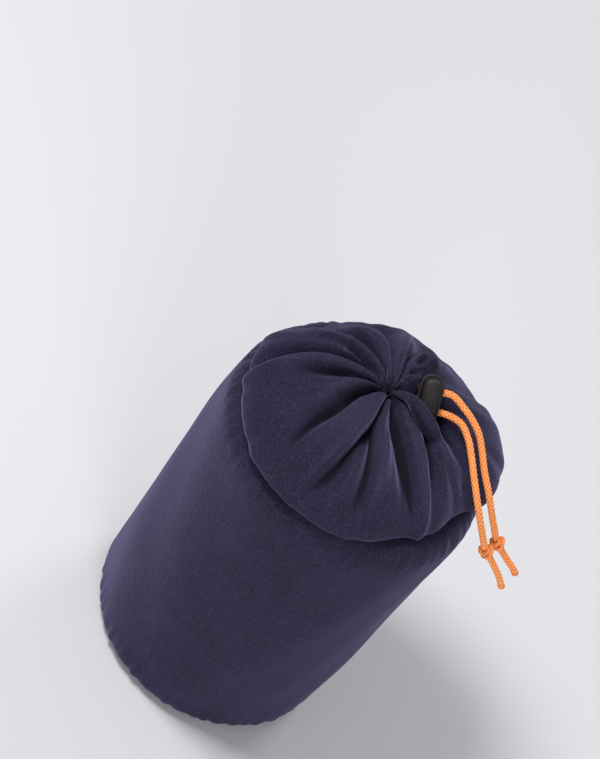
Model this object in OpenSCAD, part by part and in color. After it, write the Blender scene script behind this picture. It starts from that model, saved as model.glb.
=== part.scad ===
// Padded storage pouch for a baritone neck and mouthpiece, drawn shut with a cord and a cord lock.
// Millimetres, Z up, standing on its base; the origin is the middle of the base.

/* [Pouch] */
// Outside diameter of the padded wall at the rim
pouch_d = 114; // [100:1:137]
// Outside diameter of the padded wall at the base
base_d = 108; // [90:1:130]
// Height of the padded wall, from the floor to the rim seam
wall_h = 160; // [130:1:192]
// Radius of the soft edge between wall and base
edge_r = 8; // [6.5:0.5:10]
// How far down the wall's roll is rounded below the rim seam
roll_h = 13; // [9:0.5:18]

/* [Layers] */
// Thickness of the outer fleece
fleece_t = 2; // [1.6:0.1:2.4]
// Thickness of the foam padding
foam_t = 6; // [4:0.5:8]
// Thickness of the lining
lining_t = 1.5; // [1:0.1:2]
// Clearance between neighbouring layers
layer_gap = 0.2; // [0.1:0.05:0.4]

/* [Divider] */
// Thickness of the padded divider
divider_t = 4; // [3:0.5:6]
// Height of the divider above the lined base
divider_h = 115; // [90:1:130]
// How far the divider stands in front of the middle
divider_off = 12; // [5:1:20]

/* [Gathered top] */
// Height of the gathered top above the rim seam
crown_h = 27; // [22:1:33]
// Height of the top's widest ring above the rim seam
crown_belly_z = 4; // [3:0.5:6]
// Radius of the drawn mouth
mouth_r = 6.2; // [5:0.1:7]
// How deep the mouth's throat runs below the top
throat_h = 11; // [9:0.5:12]

/* [Drawcord] */
// Cord diameter
cord_d = 3; // [2.4:0.1:3.6]
// Radius of the cord's loop in the casing
loop_r = 8.2; // [7.5:0.1:10]
// Clearance of the cord in its casing
casing_clear = 0.3; // [0.2:0.05:0.5]

/* [Cord lock] */
// Length of the lock across its two holes
lock_w = 20; // [18:0.5:24]
// Thickness of the lock along its holes
lock_t = 10; // [9:0.5:12]
// Wall of the lock's body
lock_wall = 1.2; // [1:0.1:1.5]
// Distance between the two cord holes
hole_pitch = 8; // [7.5:0.1:9.6]
// Clearance between plunger and body
plunger_clear = 0.3; // [0.2:0.05:0.4]
// Travel of the plunger
plunger_travel = 3.5; // [2.8:0.1:3.5]
// Travel of the lock along the straight cord
lock_travel = 4; // [3:0.5:5]
// Wire diameter of the lock's spring
spring_wire = 0.5; // [0.4:0.05:0.6]

/* [Hidden] */
$fn = 96;

// Colours for viewing
navy = [0.2, 0.2, 0.32];
foam_grey = [0.75, 0.75, 0.72];
lining_navy = [0.13, 0.13, 0.2];
orange = [0.9, 0.45, 0.2];
black = [0.08, 0.08, 0.09];
steel = [0.7, 0.7, 0.72];

// Radii and heights of the layers
top_r = pouch_d / 2;
base_r = base_d / 2;
cord_r = cord_d / 2;
edge_mid_r = wall_r(edge_r) - edge_r;
foam_skin = fleece_t + layer_gap;
lining_skin = foam_skin + foam_t + layer_gap;
hollow_skin = lining_skin + lining_t;
base_foam_z = fleece_t + layer_gap;
base_lining_z = base_foam_z + foam_t + layer_gap;
hollow_z = base_lining_z + lining_t;
roll_w = foam_skin + foam_t - 2.5 * layer_gap;
roll_mid = [wall_r(wall_h - roll_h) - roll_w, wall_h - roll_h];

// Outside radius of the tapered wall at a height
function wall_r(z) = base_r + (top_r - base_r) * z / wall_h;

// Points of an oval's arc, and of a round one, in a profile
function oval(mid, w, h, from, to, steps = 8) =
    [for (i = [0 : steps])
        let (a = from + (to - from) * i / steps)
        mid + [w * cos(a), h * sin(a)]];
function arc(mid, r, from, to) = oval(mid, r, r, from, to);

// Tube swept along a route: rings square to the route, numbered along it
function unit(v) = v / norm(v);
function along(p, i) = unit(p[min(i + 1, len(p) - 1)] - p[max(i - 1, 0)]);
function ring(mid, dir, r, sides, ref) =
    let (u = unit(cross(dir, ref)))
    let (v = cross(dir, u))
    [for (k = [0 : sides - 1]) mid + r * (u * cos(360 * k / sides) + v * sin(360 * k / sides))];
module tube(route, r, sides, ref) {
    count = len(route);
    skin = [for (i = [0 : count - 1]) each ring(route[i], along(route, i), r, sides, ref)];
    sleeve = [for (i = [0 : count - 2]) for (k = [0 : sides - 1]) each
              [[i * sides + k, (i + 1) * sides + k, (i + 1) * sides + (k + 1) % sides],
               [i * sides + k, (i + 1) * sides + (k + 1) % sides, i * sides + (k + 1) % sides]]];
    start_cap = [[for (k = [0 : sides - 1]) k]];
    end_cap = [[for (k = [sides - 1 : -1 : 0]) (count - 1) * sides + k]];
    polyhedron(skin, concat(sleeve, start_cap, end_cap));
}

// Least gap of a wound tube to itself, between points at least a third of a turn apart
function self_gap(p, r, skip) =
    min([for (i = [0 : len(p) - 1]) for (k = [i + skip : 1 : len(p) - 1]) norm(p[i] - p[k])]) - 2 * r;

// Where the lock sits on the gathered top, measured from the middle of the rim, and how it leans
lock_at = [10.6, 8.4, 29.2];
lock_turn = 18;
lock_rise = 14;
lock_roll = 39;
function on_rim(p) = p + [0, 0, wall_h];
function in_lock(p) =
    let (y = p.y * cos(lock_roll) - p.z * sin(lock_roll))
    let (z1 = p.y * sin(lock_roll) + p.z * cos(lock_roll))
    let (x = p.x * cos(lock_rise) - z1 * sin(lock_rise))
    let (z = p.x * sin(lock_rise) + z1 * cos(lock_rise))
    lock_at + [x * cos(lock_turn) - y * sin(lock_turn), x * sin(lock_turn) + y * cos(lock_turn), z];
module lock_frame() {
    translate(on_rim(lock_at)) rotate([lock_roll, -lock_rise, lock_turn]) children();
}

// Heights in the lock's own frame, measured from the cords' axis
hole_r = cord_r + 0.5;
lock_floor_z = -cord_r - 1.5 - plunger_travel - plunger_clear;
lock_bottom_z = lock_floor_z - lock_wall;
lock_top_z = hole_r + 3;
plunger_bottom_z = -cord_r - 1.5;
plunger_top_z = lock_top_z + plunger_travel + 0.8;
pinch_clear = 0.2;
cup_w = lock_w - 2 * lock_wall;
cup_t = lock_t - 2 * lock_wall;
slot_w = cord_d + 0.5;
spring_top_z = cord_r + 2.5;
spring_r = hole_pitch / 2 - slot_w / 2 - 0.45 - pinch_clear - spring_wire / 2;

// The cord: each strand leaves the casing, rises through the mouth, runs straight through the lock, drapes
// over the gathered top and the rim, and hangs beside the wall to its knot and cut tail
straight_from = -lock_t / 2 - 2;
straight_to = lock_t / 2 + lock_travel;
straight_stops = [straight_from, -lock_t / 2 + 0.5, 0, lock_t / 2, (lock_t / 2 + straight_to) / 2,
                  straight_to, straight_to + 2];
function straight(side) = [for (x = straight_stops) in_lock([x, side * hole_pitch / 2, 0])];
front_rise = [[6.4, -5, 9.4], [6.2, -2.6, 10.4], [4.2, -1.6, 13], [2.6, -1.4, 17], [2.6, -0.6, 21],
              [3.8, 1.2, 23.8]];
back_rise = [[1.6, 8, 9.4], [3.6, 6, 10.4], [2.7, 3.2, 13], [1.6, 2.2, 17], [1, 2.6, 22], [0.3, 4.8, 26],
             [0.9, 7.6, 29]];
front_drape = [[27.2, 8.4, 29.8], [32.4, 6.4, 28], [38, 2.4, 24.9], [44.5, -2.4, 20.6], [50.5, -6.5, 16.5],
               [55.5, -7.4, 10.8], [60, -6.9, 4.5], [64, -4.9, -2.5]];
front_tail = [[75.2, 1.8, -18], [79, 2.8, -22], [82.6, 3, -26]];
back_drape = [[24.4, 14.2, 33.2], [29.6, 13.8, 31], [35, 11.8, 28.2], [40.5, 8.6, 24.2], [46, 5, 20],
              [51.6, 2, 16.2], [56.9, 1.4, 10], [61.4, 2.2, 3.4], [65.4, 3.7, -3]];
back_tail = [[77.5, 8.4, -17], [81, 10, -20.4], [84, 11.2, -23.6]];
front_knot = [67.4, -1.5, -9.2];
back_knot = [69.4, 5.6, -9];
function lies(before, knot, tail) = unit(unit(knot - before) + unit(tail - knot));
front_lies = lies(front_drape[len(front_drape) - 1], front_knot, front_tail[0]);
back_lies = lies(back_drape[len(back_drape) - 1], back_knot, back_tail[0]);
function tied(knot, way) = [for (t = [-3.5, 0, 3.5]) knot + t * way];
front_stops = concat(front_rise, straight(-1), front_drape, tied(front_knot, front_lies), front_tail);
back_stops = concat(back_rise, straight(1), back_drape, tied(back_knot, back_lies), back_tail);
front_route = [for (p = front_stops) on_rim(p)];
back_route = [for (p = back_stops) on_rim(p)];
strand_ref = [0.3, 1, 0.2];

// The hem casing: a cloth tube round the loop, open where the cord's ends leave it
casing_from = 92;
casing_sweep = 216;
casing_mid_z = wall_h + 9.4;
casing_in_r = cord_r + casing_clear;
casing_out_r = casing_in_r + 1.2;

// The knots: two turns of the cord, drawn tight, round each strand above its tail
knot_cord_r = cord_r * 0.54;
knot_r = cord_r + knot_cord_r + 0.1;
knot_pitch = 2 * knot_cord_r + 0.3;
knot_turns = 2.1;
knot_steps = 30;
function knot_route(way) =
    let (u = unit(cross(way, strand_ref)))
    let (v = cross(way, u))
    [for (i = [0 : knot_steps])
        let (a = 360 * knot_turns * i / knot_steps)
        knot_r * (u * cos(a) + v * sin(a)) + knot_pitch * knot_turns * (i / knot_steps - 0.5) * way];
knot_gap = self_gap(knot_route(front_lies), knot_cord_r, 9);
echo(knot_least_gap = knot_gap);

// The spring: an open helix between the lock's floor and the pocket in the plunger
spring_turns = 7;
spring_low_z = lock_floor_z + spring_wire / 2 + 0.1;
spring_high_z = spring_top_z - spring_wire / 2 - 0.1;
spring_steps = spring_turns * 8;
spring_rise = (spring_high_z - spring_low_z) / spring_steps;
spring_route = [for (i = [0 : spring_steps])
    [spring_r * cos(45 * i), spring_r * sin(45 * i), spring_low_z + spring_rise * i]];
spring_gap = self_gap(spring_route, spring_wire / 2, 4);
echo(spring_least_gap = spring_gap);

// Folds of the gathered top: the valley's direction, half its width, its depth, and the radius where it fades
folds = [[22, 20, 7, 40], [62, 9, 5, 44], [86, 8, 6, 52], [112, 8, 5, 46], [140, 9, 7, 54], [168, 9, 5, 46],
         [205, 12, 9, 54], [238, 10, 10, 56], [262, 8, 7, 54], [285, 8, 7, 55], [308, 8, 8, 56],
         [338, 9, 6, 48]];
fold_puff = 1.2;
dent_at = [14.5, 9];
dent_r = 11.6;
dent_below = 7;

// Where the top is drawn in or lies flat near the rim: direction, half its spread, and the shares by which
// it loses radius and height
slumps = [[85, 36, 0.02, 0.5], [146, 30, 0.09, 0.4], [318, 24, 0.115, -0.15], [350, 15, 0.11, 0]];
slump_from_r = 28;
slump_full_r = 54;

// Profile of the gathered top, from the rim seam over the belly to the throat's lower edge
crown_r = top_r - 0.4;
crown_dome_h = crown_h - crown_belly_z;
function dome_z(r) = crown_belly_z + crown_dome_h * sqrt(1 - pow(r / crown_r, 2));
dent_deep = dome_z(norm(dent_at)) - (lock_at.z + lock_bottom_z - dent_below);
crown_profile = concat(
    [[roll_mid.x - 3, layer_gap], [crown_r - 2.2, layer_gap + 0.6], [crown_r - 0.3, crown_belly_z / 2 + 0.3]],
    [for (a = [0, 12, 25, 38, 51, 64, 76]) [crown_r * cos(a), crown_belly_z + crown_dome_h * sin(a)]],
    [[mouth_r + 3.3, crown_h - 0.3], [mouth_r + 0.8, crown_h - 1.8], [mouth_r, crown_h - 5],
     [mouth_r, crown_h - throat_h]]);
crown_rings = len(crown_profile);
crown_seats = len(folds) * 4;

// Place of a ring in a direction, slumped near the rim but held at the seam, and the outward way there
function apart(a, b) = (a - b + 540) % 360 - 180;
function slump(a, what) =
    let (each_one = [for (s = slumps) s[what] * exp(-pow(apart(a, s[0]) / s[1], 2))])
    each_one * [for (s = slumps) 1];
function slump_share(i) =
    let (t = max(0, min(1, (crown_profile[i].x - slump_from_r) / (slump_full_r - slump_from_r))))
    i == 0 ? 0 : t * t * (3 - 2 * t);
function slumped(i, a) =
    let (share = slump_share(i))
    [crown_profile[i].x * (1 - share * slump(a, 2)), crown_profile[i].y * (1 - share * slump(a, 3))];
function profile_out(i, a) =
    let (t = unit(slumped(min(i + 1, crown_rings - 1), a) - slumped(max(i - 1, 0), a)))
    [t.y, -t.x];

// Each fold takes four seats round the top: one flank, the valley, the other flank and the puff after it
function seat_angle(k) =
    let (f = floor(k / 4))
    let (here = folds[f])
    let (next = folds[(f + 1) % len(folds)])
    let (next_from = next[0] - next[1] + (f + 1 == len(folds) ? 360 : 0))
    [here[0] - here[1], here[0], here[0] + here[1], (here[0] + here[1] + next_from) / 2][k % 4];
function fold_share(f, i) =
    let (r = crown_profile[i].x)
    let (rest = i > crown_rings - 3 ? 0.1 : i > crown_rings - 5 ? 0.6 : 1)
    rest * max(0, min(1, (folds[f][3] - r) / (folds[f][3] - 16)));
function seat_lift(k, i) =
    let (f = floor(k / 4))
    [0, -folds[f][2], 0, fold_puff][k % 4] * fold_share(f, i);
function dent(p) = dent_deep * exp(-pow(norm([p.x, p.y] - dent_at) / dent_r, 4));
function crown_point(k, i, in) =
    let (a = seat_angle(k))
    let (flat = slumped(i, a) + (seat_lift(k, i) - in) * profile_out(i, a))
    let (p = [flat.x * cos(a), flat.x * sin(a), flat.y])
    on_rim(i < crown_rings - 3 ? p - [0, 0, dent(p)] : p - [0, 0, 0.5 * dent(p)]);

// Fleece side of the pouch, turned in under the base and over the rim
module outer_side_panel() {
    color(navy)
    rotate_extrude()
    polygon(concat(
        arc([edge_mid_r, edge_r], edge_r, -90, 0),
        oval(roll_mid, roll_w, roll_h, 0, 90),
        oval(roll_mid, roll_w - fleece_t, roll_h - fleece_t, 90, 0),
        arc([edge_mid_r, edge_r], edge_r - fleece_t, 0, -90)));
}

// Round fleece base, sewn to the side along its edge
module outer_base_panel() {
    color(navy)
    cylinder(r = edge_mid_r - layer_gap, h = fleece_t);
}

// Foam roll in the wall
module side_foam() {
    low = max(base_lining_z, edge_r);
    roll = oval(roll_mid, roll_w - foam_skin, roll_h - foam_skin, 0, 80);
    high = roll[len(roll) - 1].y;
    color(foam_grey)
    rotate_extrude()
    polygon(concat([[wall_r(low) - foam_skin - foam_t, low], [wall_r(low) - foam_skin, low]], roll,
                   [[wall_r(high) - foam_skin - foam_t, high]]));
}

// Foam disc in the base, with the soft edge's rounding
module base_foam() {
    color(foam_grey)
    rotate_extrude()
    intersection() {
        polygon(concat([[0, base_foam_z]], arc([edge_mid_r, edge_r], edge_r - foam_skin, -90, 0),
                       [[wall_r(edge_r + foam_t) - foam_skin, edge_r + foam_t], [0, edge_r + foam_t]]));
        translate([0, base_foam_z]) square([top_r, foam_t]);
    }
}

// Lining of the wall, up to the rim seam
module lining_side() {
    low_r = wall_r(base_lining_z);
    color(lining_navy)
    rotate_extrude()
    polygon([[low_r - hollow_skin, base_lining_z], [low_r - lining_skin, base_lining_z],
             [top_r - lining_skin, wall_h - layer_gap], [top_r - hollow_skin, wall_h - layer_gap]]);
}

// Lining of the base
module lining_base() {
    color(lining_navy)
    translate([0, 0, base_lining_z])
    cylinder(r = wall_r(base_lining_z) - hollow_skin - layer_gap, h = lining_t);
}

// Padded divider between the neck and the mouthpiece, its side edges sewn to the lining
module divider() {
    low = hollow_z + layer_gap;
    high = low + divider_h;
    side = hollow_skin + layer_gap;
    color(lining_navy)
    intersection() {
        translate([-top_r, -divider_off - divider_t / 2, low]) cube([pouch_d, divider_t, divider_h]);
        rotate_extrude()
        polygon([[0, low], [wall_r(low) - side, low], [wall_r(high) - side, high], [0, high]]);
    }
}

// Fleece top, gathered in pleats from the rim seam to the drawn mouth
module gathered_top() {
    seats = crown_seats;
    half = seats * crown_rings;
    outer = [for (i = [0 : crown_rings - 1]) for (k = [0 : seats - 1]) crown_point(k, i, 0)];
    inner = [for (i = [0 : crown_rings - 1]) for (k = [0 : seats - 1]) crown_point(k, i, fleece_t)];
    sheets = [for (i = [0 : crown_rings - 2]) for (k = [0 : seats - 1])
        let (a = i * seats + k)
        let (b = i * seats + (k + 1) % seats)
        each [[a, a + seats, b + seats], [a, b + seats, b],
              [half + a, half + b + seats, half + a + seats], [half + a, half + b, half + b + seats]]];
    edges = [for (k = [0 : seats - 1])
        let (n = (k + 1) % seats)
        let (e = (crown_rings - 1) * seats)
        each [[k, n, half + n], [k, half + n, half + k],
              [e + k, half + e + n, e + n], [e + k, half + e + k, half + e + n]]];
    color(navy)
    polyhedron(concat(outer, inner), concat(sheets, edges));
}

// Hem casing under the throat
module hem_casing() {
    color(navy)
    translate([0, 0, casing_mid_z]) rotate([0, 0, casing_from])
    rotate_extrude(angle = casing_sweep)
    translate([loop_r, 0]) difference() {
        circle(r = casing_out_r);
        circle(r = casing_in_r);
    }
}

// The cord's loop in the casing
module drawcord_loop() {
    color(orange)
    translate([0, 0, casing_mid_z]) rotate([0, 0, casing_from - 4])
    rotate_extrude(angle = casing_sweep + 8)
    translate([loop_r, 0]) circle(r = cord_r);
}

// Free strand through the lock's front hole
module strand_front() {
    color(orange) tube(front_route, cord_r, 8, strand_ref);
}

// Free strand through the lock's back hole
module strand_back() {
    color(orange) tube(back_route, cord_r, 8, strand_ref);
}

// Knot at the end of the front strand
module knot_front() {
    color(orange) translate(on_rim(front_knot)) tube(knot_route(front_lies), knot_cord_r, 8, front_lies);
}

// Knot at the end of the back strand
module knot_back() {
    color(orange) translate(on_rim(back_knot)) tube(knot_route(back_lies), knot_cord_r, 8, back_lies);
}

// Block with half-round ends and rounded edges, from one height to another
module rounded_block(w, t, low, high, low_r, high_r) {
    profile = concat([[0, low]], arc([t / 2 - low_r, low + low_r], low_r, -90, 0),
                     arc([t / 2 - high_r, high - high_r], high_r, 0, 90), [[0, high]]);
    mirrored = [for (i = [len(profile) - 1 : -1 : 0]) [-profile[i].x, profile[i].y]];
    middle = w - t;
    rotate([90, 0, 0]) translate([0, 0, -middle / 2])
    linear_extrude(middle) polygon(concat(profile, mirrored));
    translate([0, middle / 2, 0]) rotate_extrude() polygon(profile);
    translate([0, -middle / 2, 0]) rotate_extrude() polygon(profile);
}

// Cord lock body: a cup with two cord holes through it
module lock_body() {
    color(black)
    lock_frame()
    difference() {
        rounded_block(lock_w, lock_t, lock_bottom_z, lock_top_z, 1.5, 0.5);
        rounded_block(cup_w, cup_t, lock_floor_z, lock_top_z + 2, 0.6, 0.6);
        for (side = [-1, 1]) {
            translate([-lock_t, side * hole_pitch / 2, -hole_r + cord_r + pinch_clear])
            rotate([0, 90, 0]) cylinder(r = hole_r, h = 2 * lock_t);
        }
    }
}

// Spring under the plunger
module lock_spring() {
    color(steel) lock_frame() tube(spring_route, spring_wire / 2, 6, [0, 0, 1]);
}

// Plunger with its button end, two cord slots and the spring's pocket
module lock_plunger() {
    slot_low = -cord_r - pinch_clear + slot_w / 2;
    slot_high = plunger_travel + cord_r + pinch_clear - slot_w / 2;
    color(black)
    lock_frame()
    difference() {
        rounded_block(cup_w - 2 * plunger_clear, cup_t - 2 * plunger_clear,
                      plunger_bottom_z, plunger_top_z, 0.9, 2.4);
        for (side = [-1, 1]) {
            translate([-lock_t, side * hole_pitch / 2 - slot_w / 2, slot_low])
            cube([2 * lock_t, slot_w, slot_high - slot_low]);
            for (z = [slot_low, slot_high]) {
                translate([-lock_t, side * hole_pitch / 2, z])
                rotate([0, 90, 0]) cylinder(r = slot_w / 2, h = 2 * lock_t);
            }
        }
        translate([0, 0, plunger_bottom_z - 1])
        cylinder(r = spring_r + spring_wire / 2 + pinch_clear, h = spring_top_z - plunger_bottom_z + 1);
    }
}

outer_side_panel();
outer_base_panel();
side_foam();
base_foam();
lining_side();
lining_base();
divider();
gathered_top();
hem_casing();
drawcord_loop();
strand_front();
strand_back();
knot_front();
knot_back();
lock_body();
lock_spring();
lock_plunger();
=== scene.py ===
"""Looks of a fleece storage pouch that is drawn shut with a braided cord and a cord lock.

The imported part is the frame. Each soft solid of it is replaced by a surface that is worked out on a grid,
and the lock keeps its own solids with moulded-plastic and spring-wire finishes. Shapes are worked out in
millimetres from the middle of the base, and meshes are written in metres.
"""

import logging
import math
from dataclasses import dataclass
from enum import Enum
from typing import Any, Mapping, Sequence

import bpy
import numpy as np
from mathutils import Matrix, Vector

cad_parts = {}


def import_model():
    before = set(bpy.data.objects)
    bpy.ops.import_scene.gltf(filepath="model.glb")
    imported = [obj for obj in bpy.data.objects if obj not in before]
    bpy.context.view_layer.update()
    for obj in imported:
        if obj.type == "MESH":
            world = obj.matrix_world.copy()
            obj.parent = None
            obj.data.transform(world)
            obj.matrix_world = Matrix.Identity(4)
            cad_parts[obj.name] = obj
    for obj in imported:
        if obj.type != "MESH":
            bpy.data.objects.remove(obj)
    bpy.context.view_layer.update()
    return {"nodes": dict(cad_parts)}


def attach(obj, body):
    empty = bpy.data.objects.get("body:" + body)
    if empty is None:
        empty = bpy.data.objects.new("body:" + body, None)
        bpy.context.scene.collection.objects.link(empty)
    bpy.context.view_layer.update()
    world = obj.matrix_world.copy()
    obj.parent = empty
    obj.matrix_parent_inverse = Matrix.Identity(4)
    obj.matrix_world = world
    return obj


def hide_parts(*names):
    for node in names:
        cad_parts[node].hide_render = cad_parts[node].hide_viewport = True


LOG = logging.getLogger("pouch")
MM = 0.001
RIM_Z = 160.0
TURN = 2.0 * math.pi
RIM = np.array([0.0, 0.0, RIM_Z])
ACROSS_CORD = (0.3, 1.0, 0.2)

Colour = tuple[float, float, float, float]
Wave = tuple[float, float, float, float]
Place = tuple[float, float, float]


def from_screen(red: int, green: int, blue: int) -> Colour:
    """A colour given in screen values, as linear light.

    Args:
        red: Red on the screen, 0 to 255.
        green: Green on the screen, 0 to 255.
        blue: Blue on the screen, 0 to 255.

    Returns:
        Linear red, green, blue and a full alpha.
    """
    share = np.array([red, green, blue]) / 255.0
    light = np.where(share <= 0.04045, share / 12.92, ((share + 0.055) / 1.055) ** 2.4)
    return (float(light[0]), float(light[1]), float(light[2]), 1.0)


def ease(low: float, high: float, value: np.ndarray) -> np.ndarray:
    """Smooth step: 0 below low, 1 above high, and 3t^2 - 2t^3 between them."""
    t = np.clip((value - low) / (high - low), 0.0, 1.0)
    return t * t * (3.0 - 2.0 * t)


def through(stations: Sequence[float], values: np.ndarray, at: np.ndarray) -> np.ndarray:
    """Cubic curve through values given at stations, with slopes taken from the neighbours (Catmull-Rom).

    Args:
        stations: Rising places of the given values.
        values: Values at the stations on the first axis; further axes are carried along.
        at: Places to read the curve at, held inside the stations.

    Returns:
        The curve's values, with at's length on the first axis.
    """
    x = np.asarray(stations, float)
    y = np.asarray(values, float)
    slope = np.gradient(y, x, axis=0)
    place = np.clip(at, x[0], x[-1])
    i = np.clip(np.searchsorted(x, place, side="right") - 1, 0, len(x) - 2)
    width = x[i + 1] - x[i]
    shape = (-1,) + (1,) * (y.ndim - 1)
    t = ((place - x[i]) / width).reshape(shape)
    width = width.reshape(shape)
    rise = (2 * t**3 - 3 * t**2 + 1) * y[i] + (3 * t**2 - 2 * t**3) * y[i + 1]
    return rise + width * ((t**3 - 2 * t**2 + t) * slope[i] + (t**3 - t**2) * slope[i + 1])


def blurred_round(field: np.ndarray, spread: np.ndarray) -> np.ndarray:
    """Gaussian blur of each row round its closed circle: each wave is damped by exp(-(n * spread)^2 / 2).

    Args:
        field: Values with one row per ring and one column per direction.
        spread: Width of the blur in radians, one per ring.

    Returns:
        The blurred values.
    """
    waves = np.fft.rfft(field, axis=1)
    order = np.arange(waves.shape[1])
    return np.fft.irfft(waves * np.exp(-0.5 * (order * spread[:, None]) ** 2), field.shape[1], axis=1)


def ripples(angle: np.ndarray, along: np.ndarray, waves: Sequence[Wave]) -> np.ndarray:
    """Sum of slanted cosine waves, height * cos(turns * angle + climb * along + phase), for slack in cloth.

    Args:
        angle: Direction round the pouch in radians.
        along: Place along the cloth in millimetres.
        waves: Height, whole turns, climb per millimetre and phase of each wave.

    Returns:
        The summed height.
    """
    total = np.zeros(np.broadcast(angle, along).shape)
    for height, turns, climb, phase in waves:
        total += height * np.cos(turns * angle + climb * along + phase)
    return total


def run_along(points: np.ndarray) -> np.ndarray:
    """Way along a line of points, from 0 at its first."""
    return np.concatenate([[0.0], np.cumsum(np.linalg.norm(np.diff(points, axis=0), axis=1))])


def unit(vectors: np.ndarray) -> np.ndarray:
    """Vectors of length 1 in the given directions, on the last axis."""
    return vectors / np.linalg.norm(vectors, axis=-1, keepdims=True)


def directions(count: int) -> np.ndarray:
    """Even directions round a circle, in radians."""
    return np.arange(count) * TURN / count


def turned(radius: np.ndarray | float, angle: np.ndarray, level: np.ndarray | float) -> np.ndarray:
    """Points at a distance from the axis, a direction and a height, as x, y and z on a new last axis."""
    parts = np.broadcast_arrays(radius * np.cos(angle), radius * np.sin(angle), level)
    return np.stack(parts, axis=-1)


def across_section(section: np.ndarray) -> np.ndarray:
    """Unit normals of a section in radius and height, on the right of the way along it."""
    tangent = unit(np.gradient(section, axis=0))
    return np.stack([tangent[:, 1], -tangent[:, 0]], axis=-1)


def turning(axis: int, degrees: float) -> np.ndarray:
    """Rotation about a coordinate axis (0, 1 or 2), as a matrix that stands before a column."""
    c, s = math.cos(math.radians(degrees)), math.sin(math.radians(degrees))
    first, second = (axis + 1) % 3, (axis + 2) % 3
    matrix = np.eye(3)
    matrix[first, first] = matrix[second, second] = c
    matrix[second, first] = s
    matrix[first, second] = -s
    return matrix


def grid_faces(rows: int, columns: int, wrap_rows: bool) -> np.ndarray:
    """Four-cornered faces of a grid that is closed round its columns and numbered row by row.

    Args:
        rows: Number of rows.
        columns: Points in a row.
        wrap_rows: Whether the last row joins the first.

    Returns:
        Point numbers, four per face.
    """
    i = np.arange(rows if wrap_rows else rows - 1)[:, None]
    k = np.arange(columns)[None, :]
    below, above = i * columns, ((i + 1) % rows) * columns
    after = (k + 1) % columns
    return np.stack([below + k, below + after, above + after, above + k], axis=-1).reshape(-1, 4)


def facing_out(points: np.ndarray, faces: np.ndarray) -> np.ndarray:
    """Faces of a closed surface, turned over if the volume that they enclose comes out negative."""
    a, b, c, d = (points[faces[:, i]] for i in range(4))
    volume = np.einsum("ij,ij->i", a, np.cross(b, c) + np.cross(c, d)).sum()
    return faces if volume > 0 else faces[:, ::-1]


def grid_normals(points: np.ndarray) -> np.ndarray:
    """Unit normals of a grid that is closed round its columns, from central differences both ways.

    Args:
        points: Grid of points, rows by columns by three.

    Returns:
        A normal for each point, along (step to the next column) x (step to the next row).
    """
    round_step = np.roll(points, -1, axis=1) - np.roll(points, 1, axis=1)
    normal = np.cross(round_step, np.gradient(points, axis=0))
    return normal / np.maximum(np.linalg.norm(normal, axis=-1, keepdims=True), 1e-9)


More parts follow.
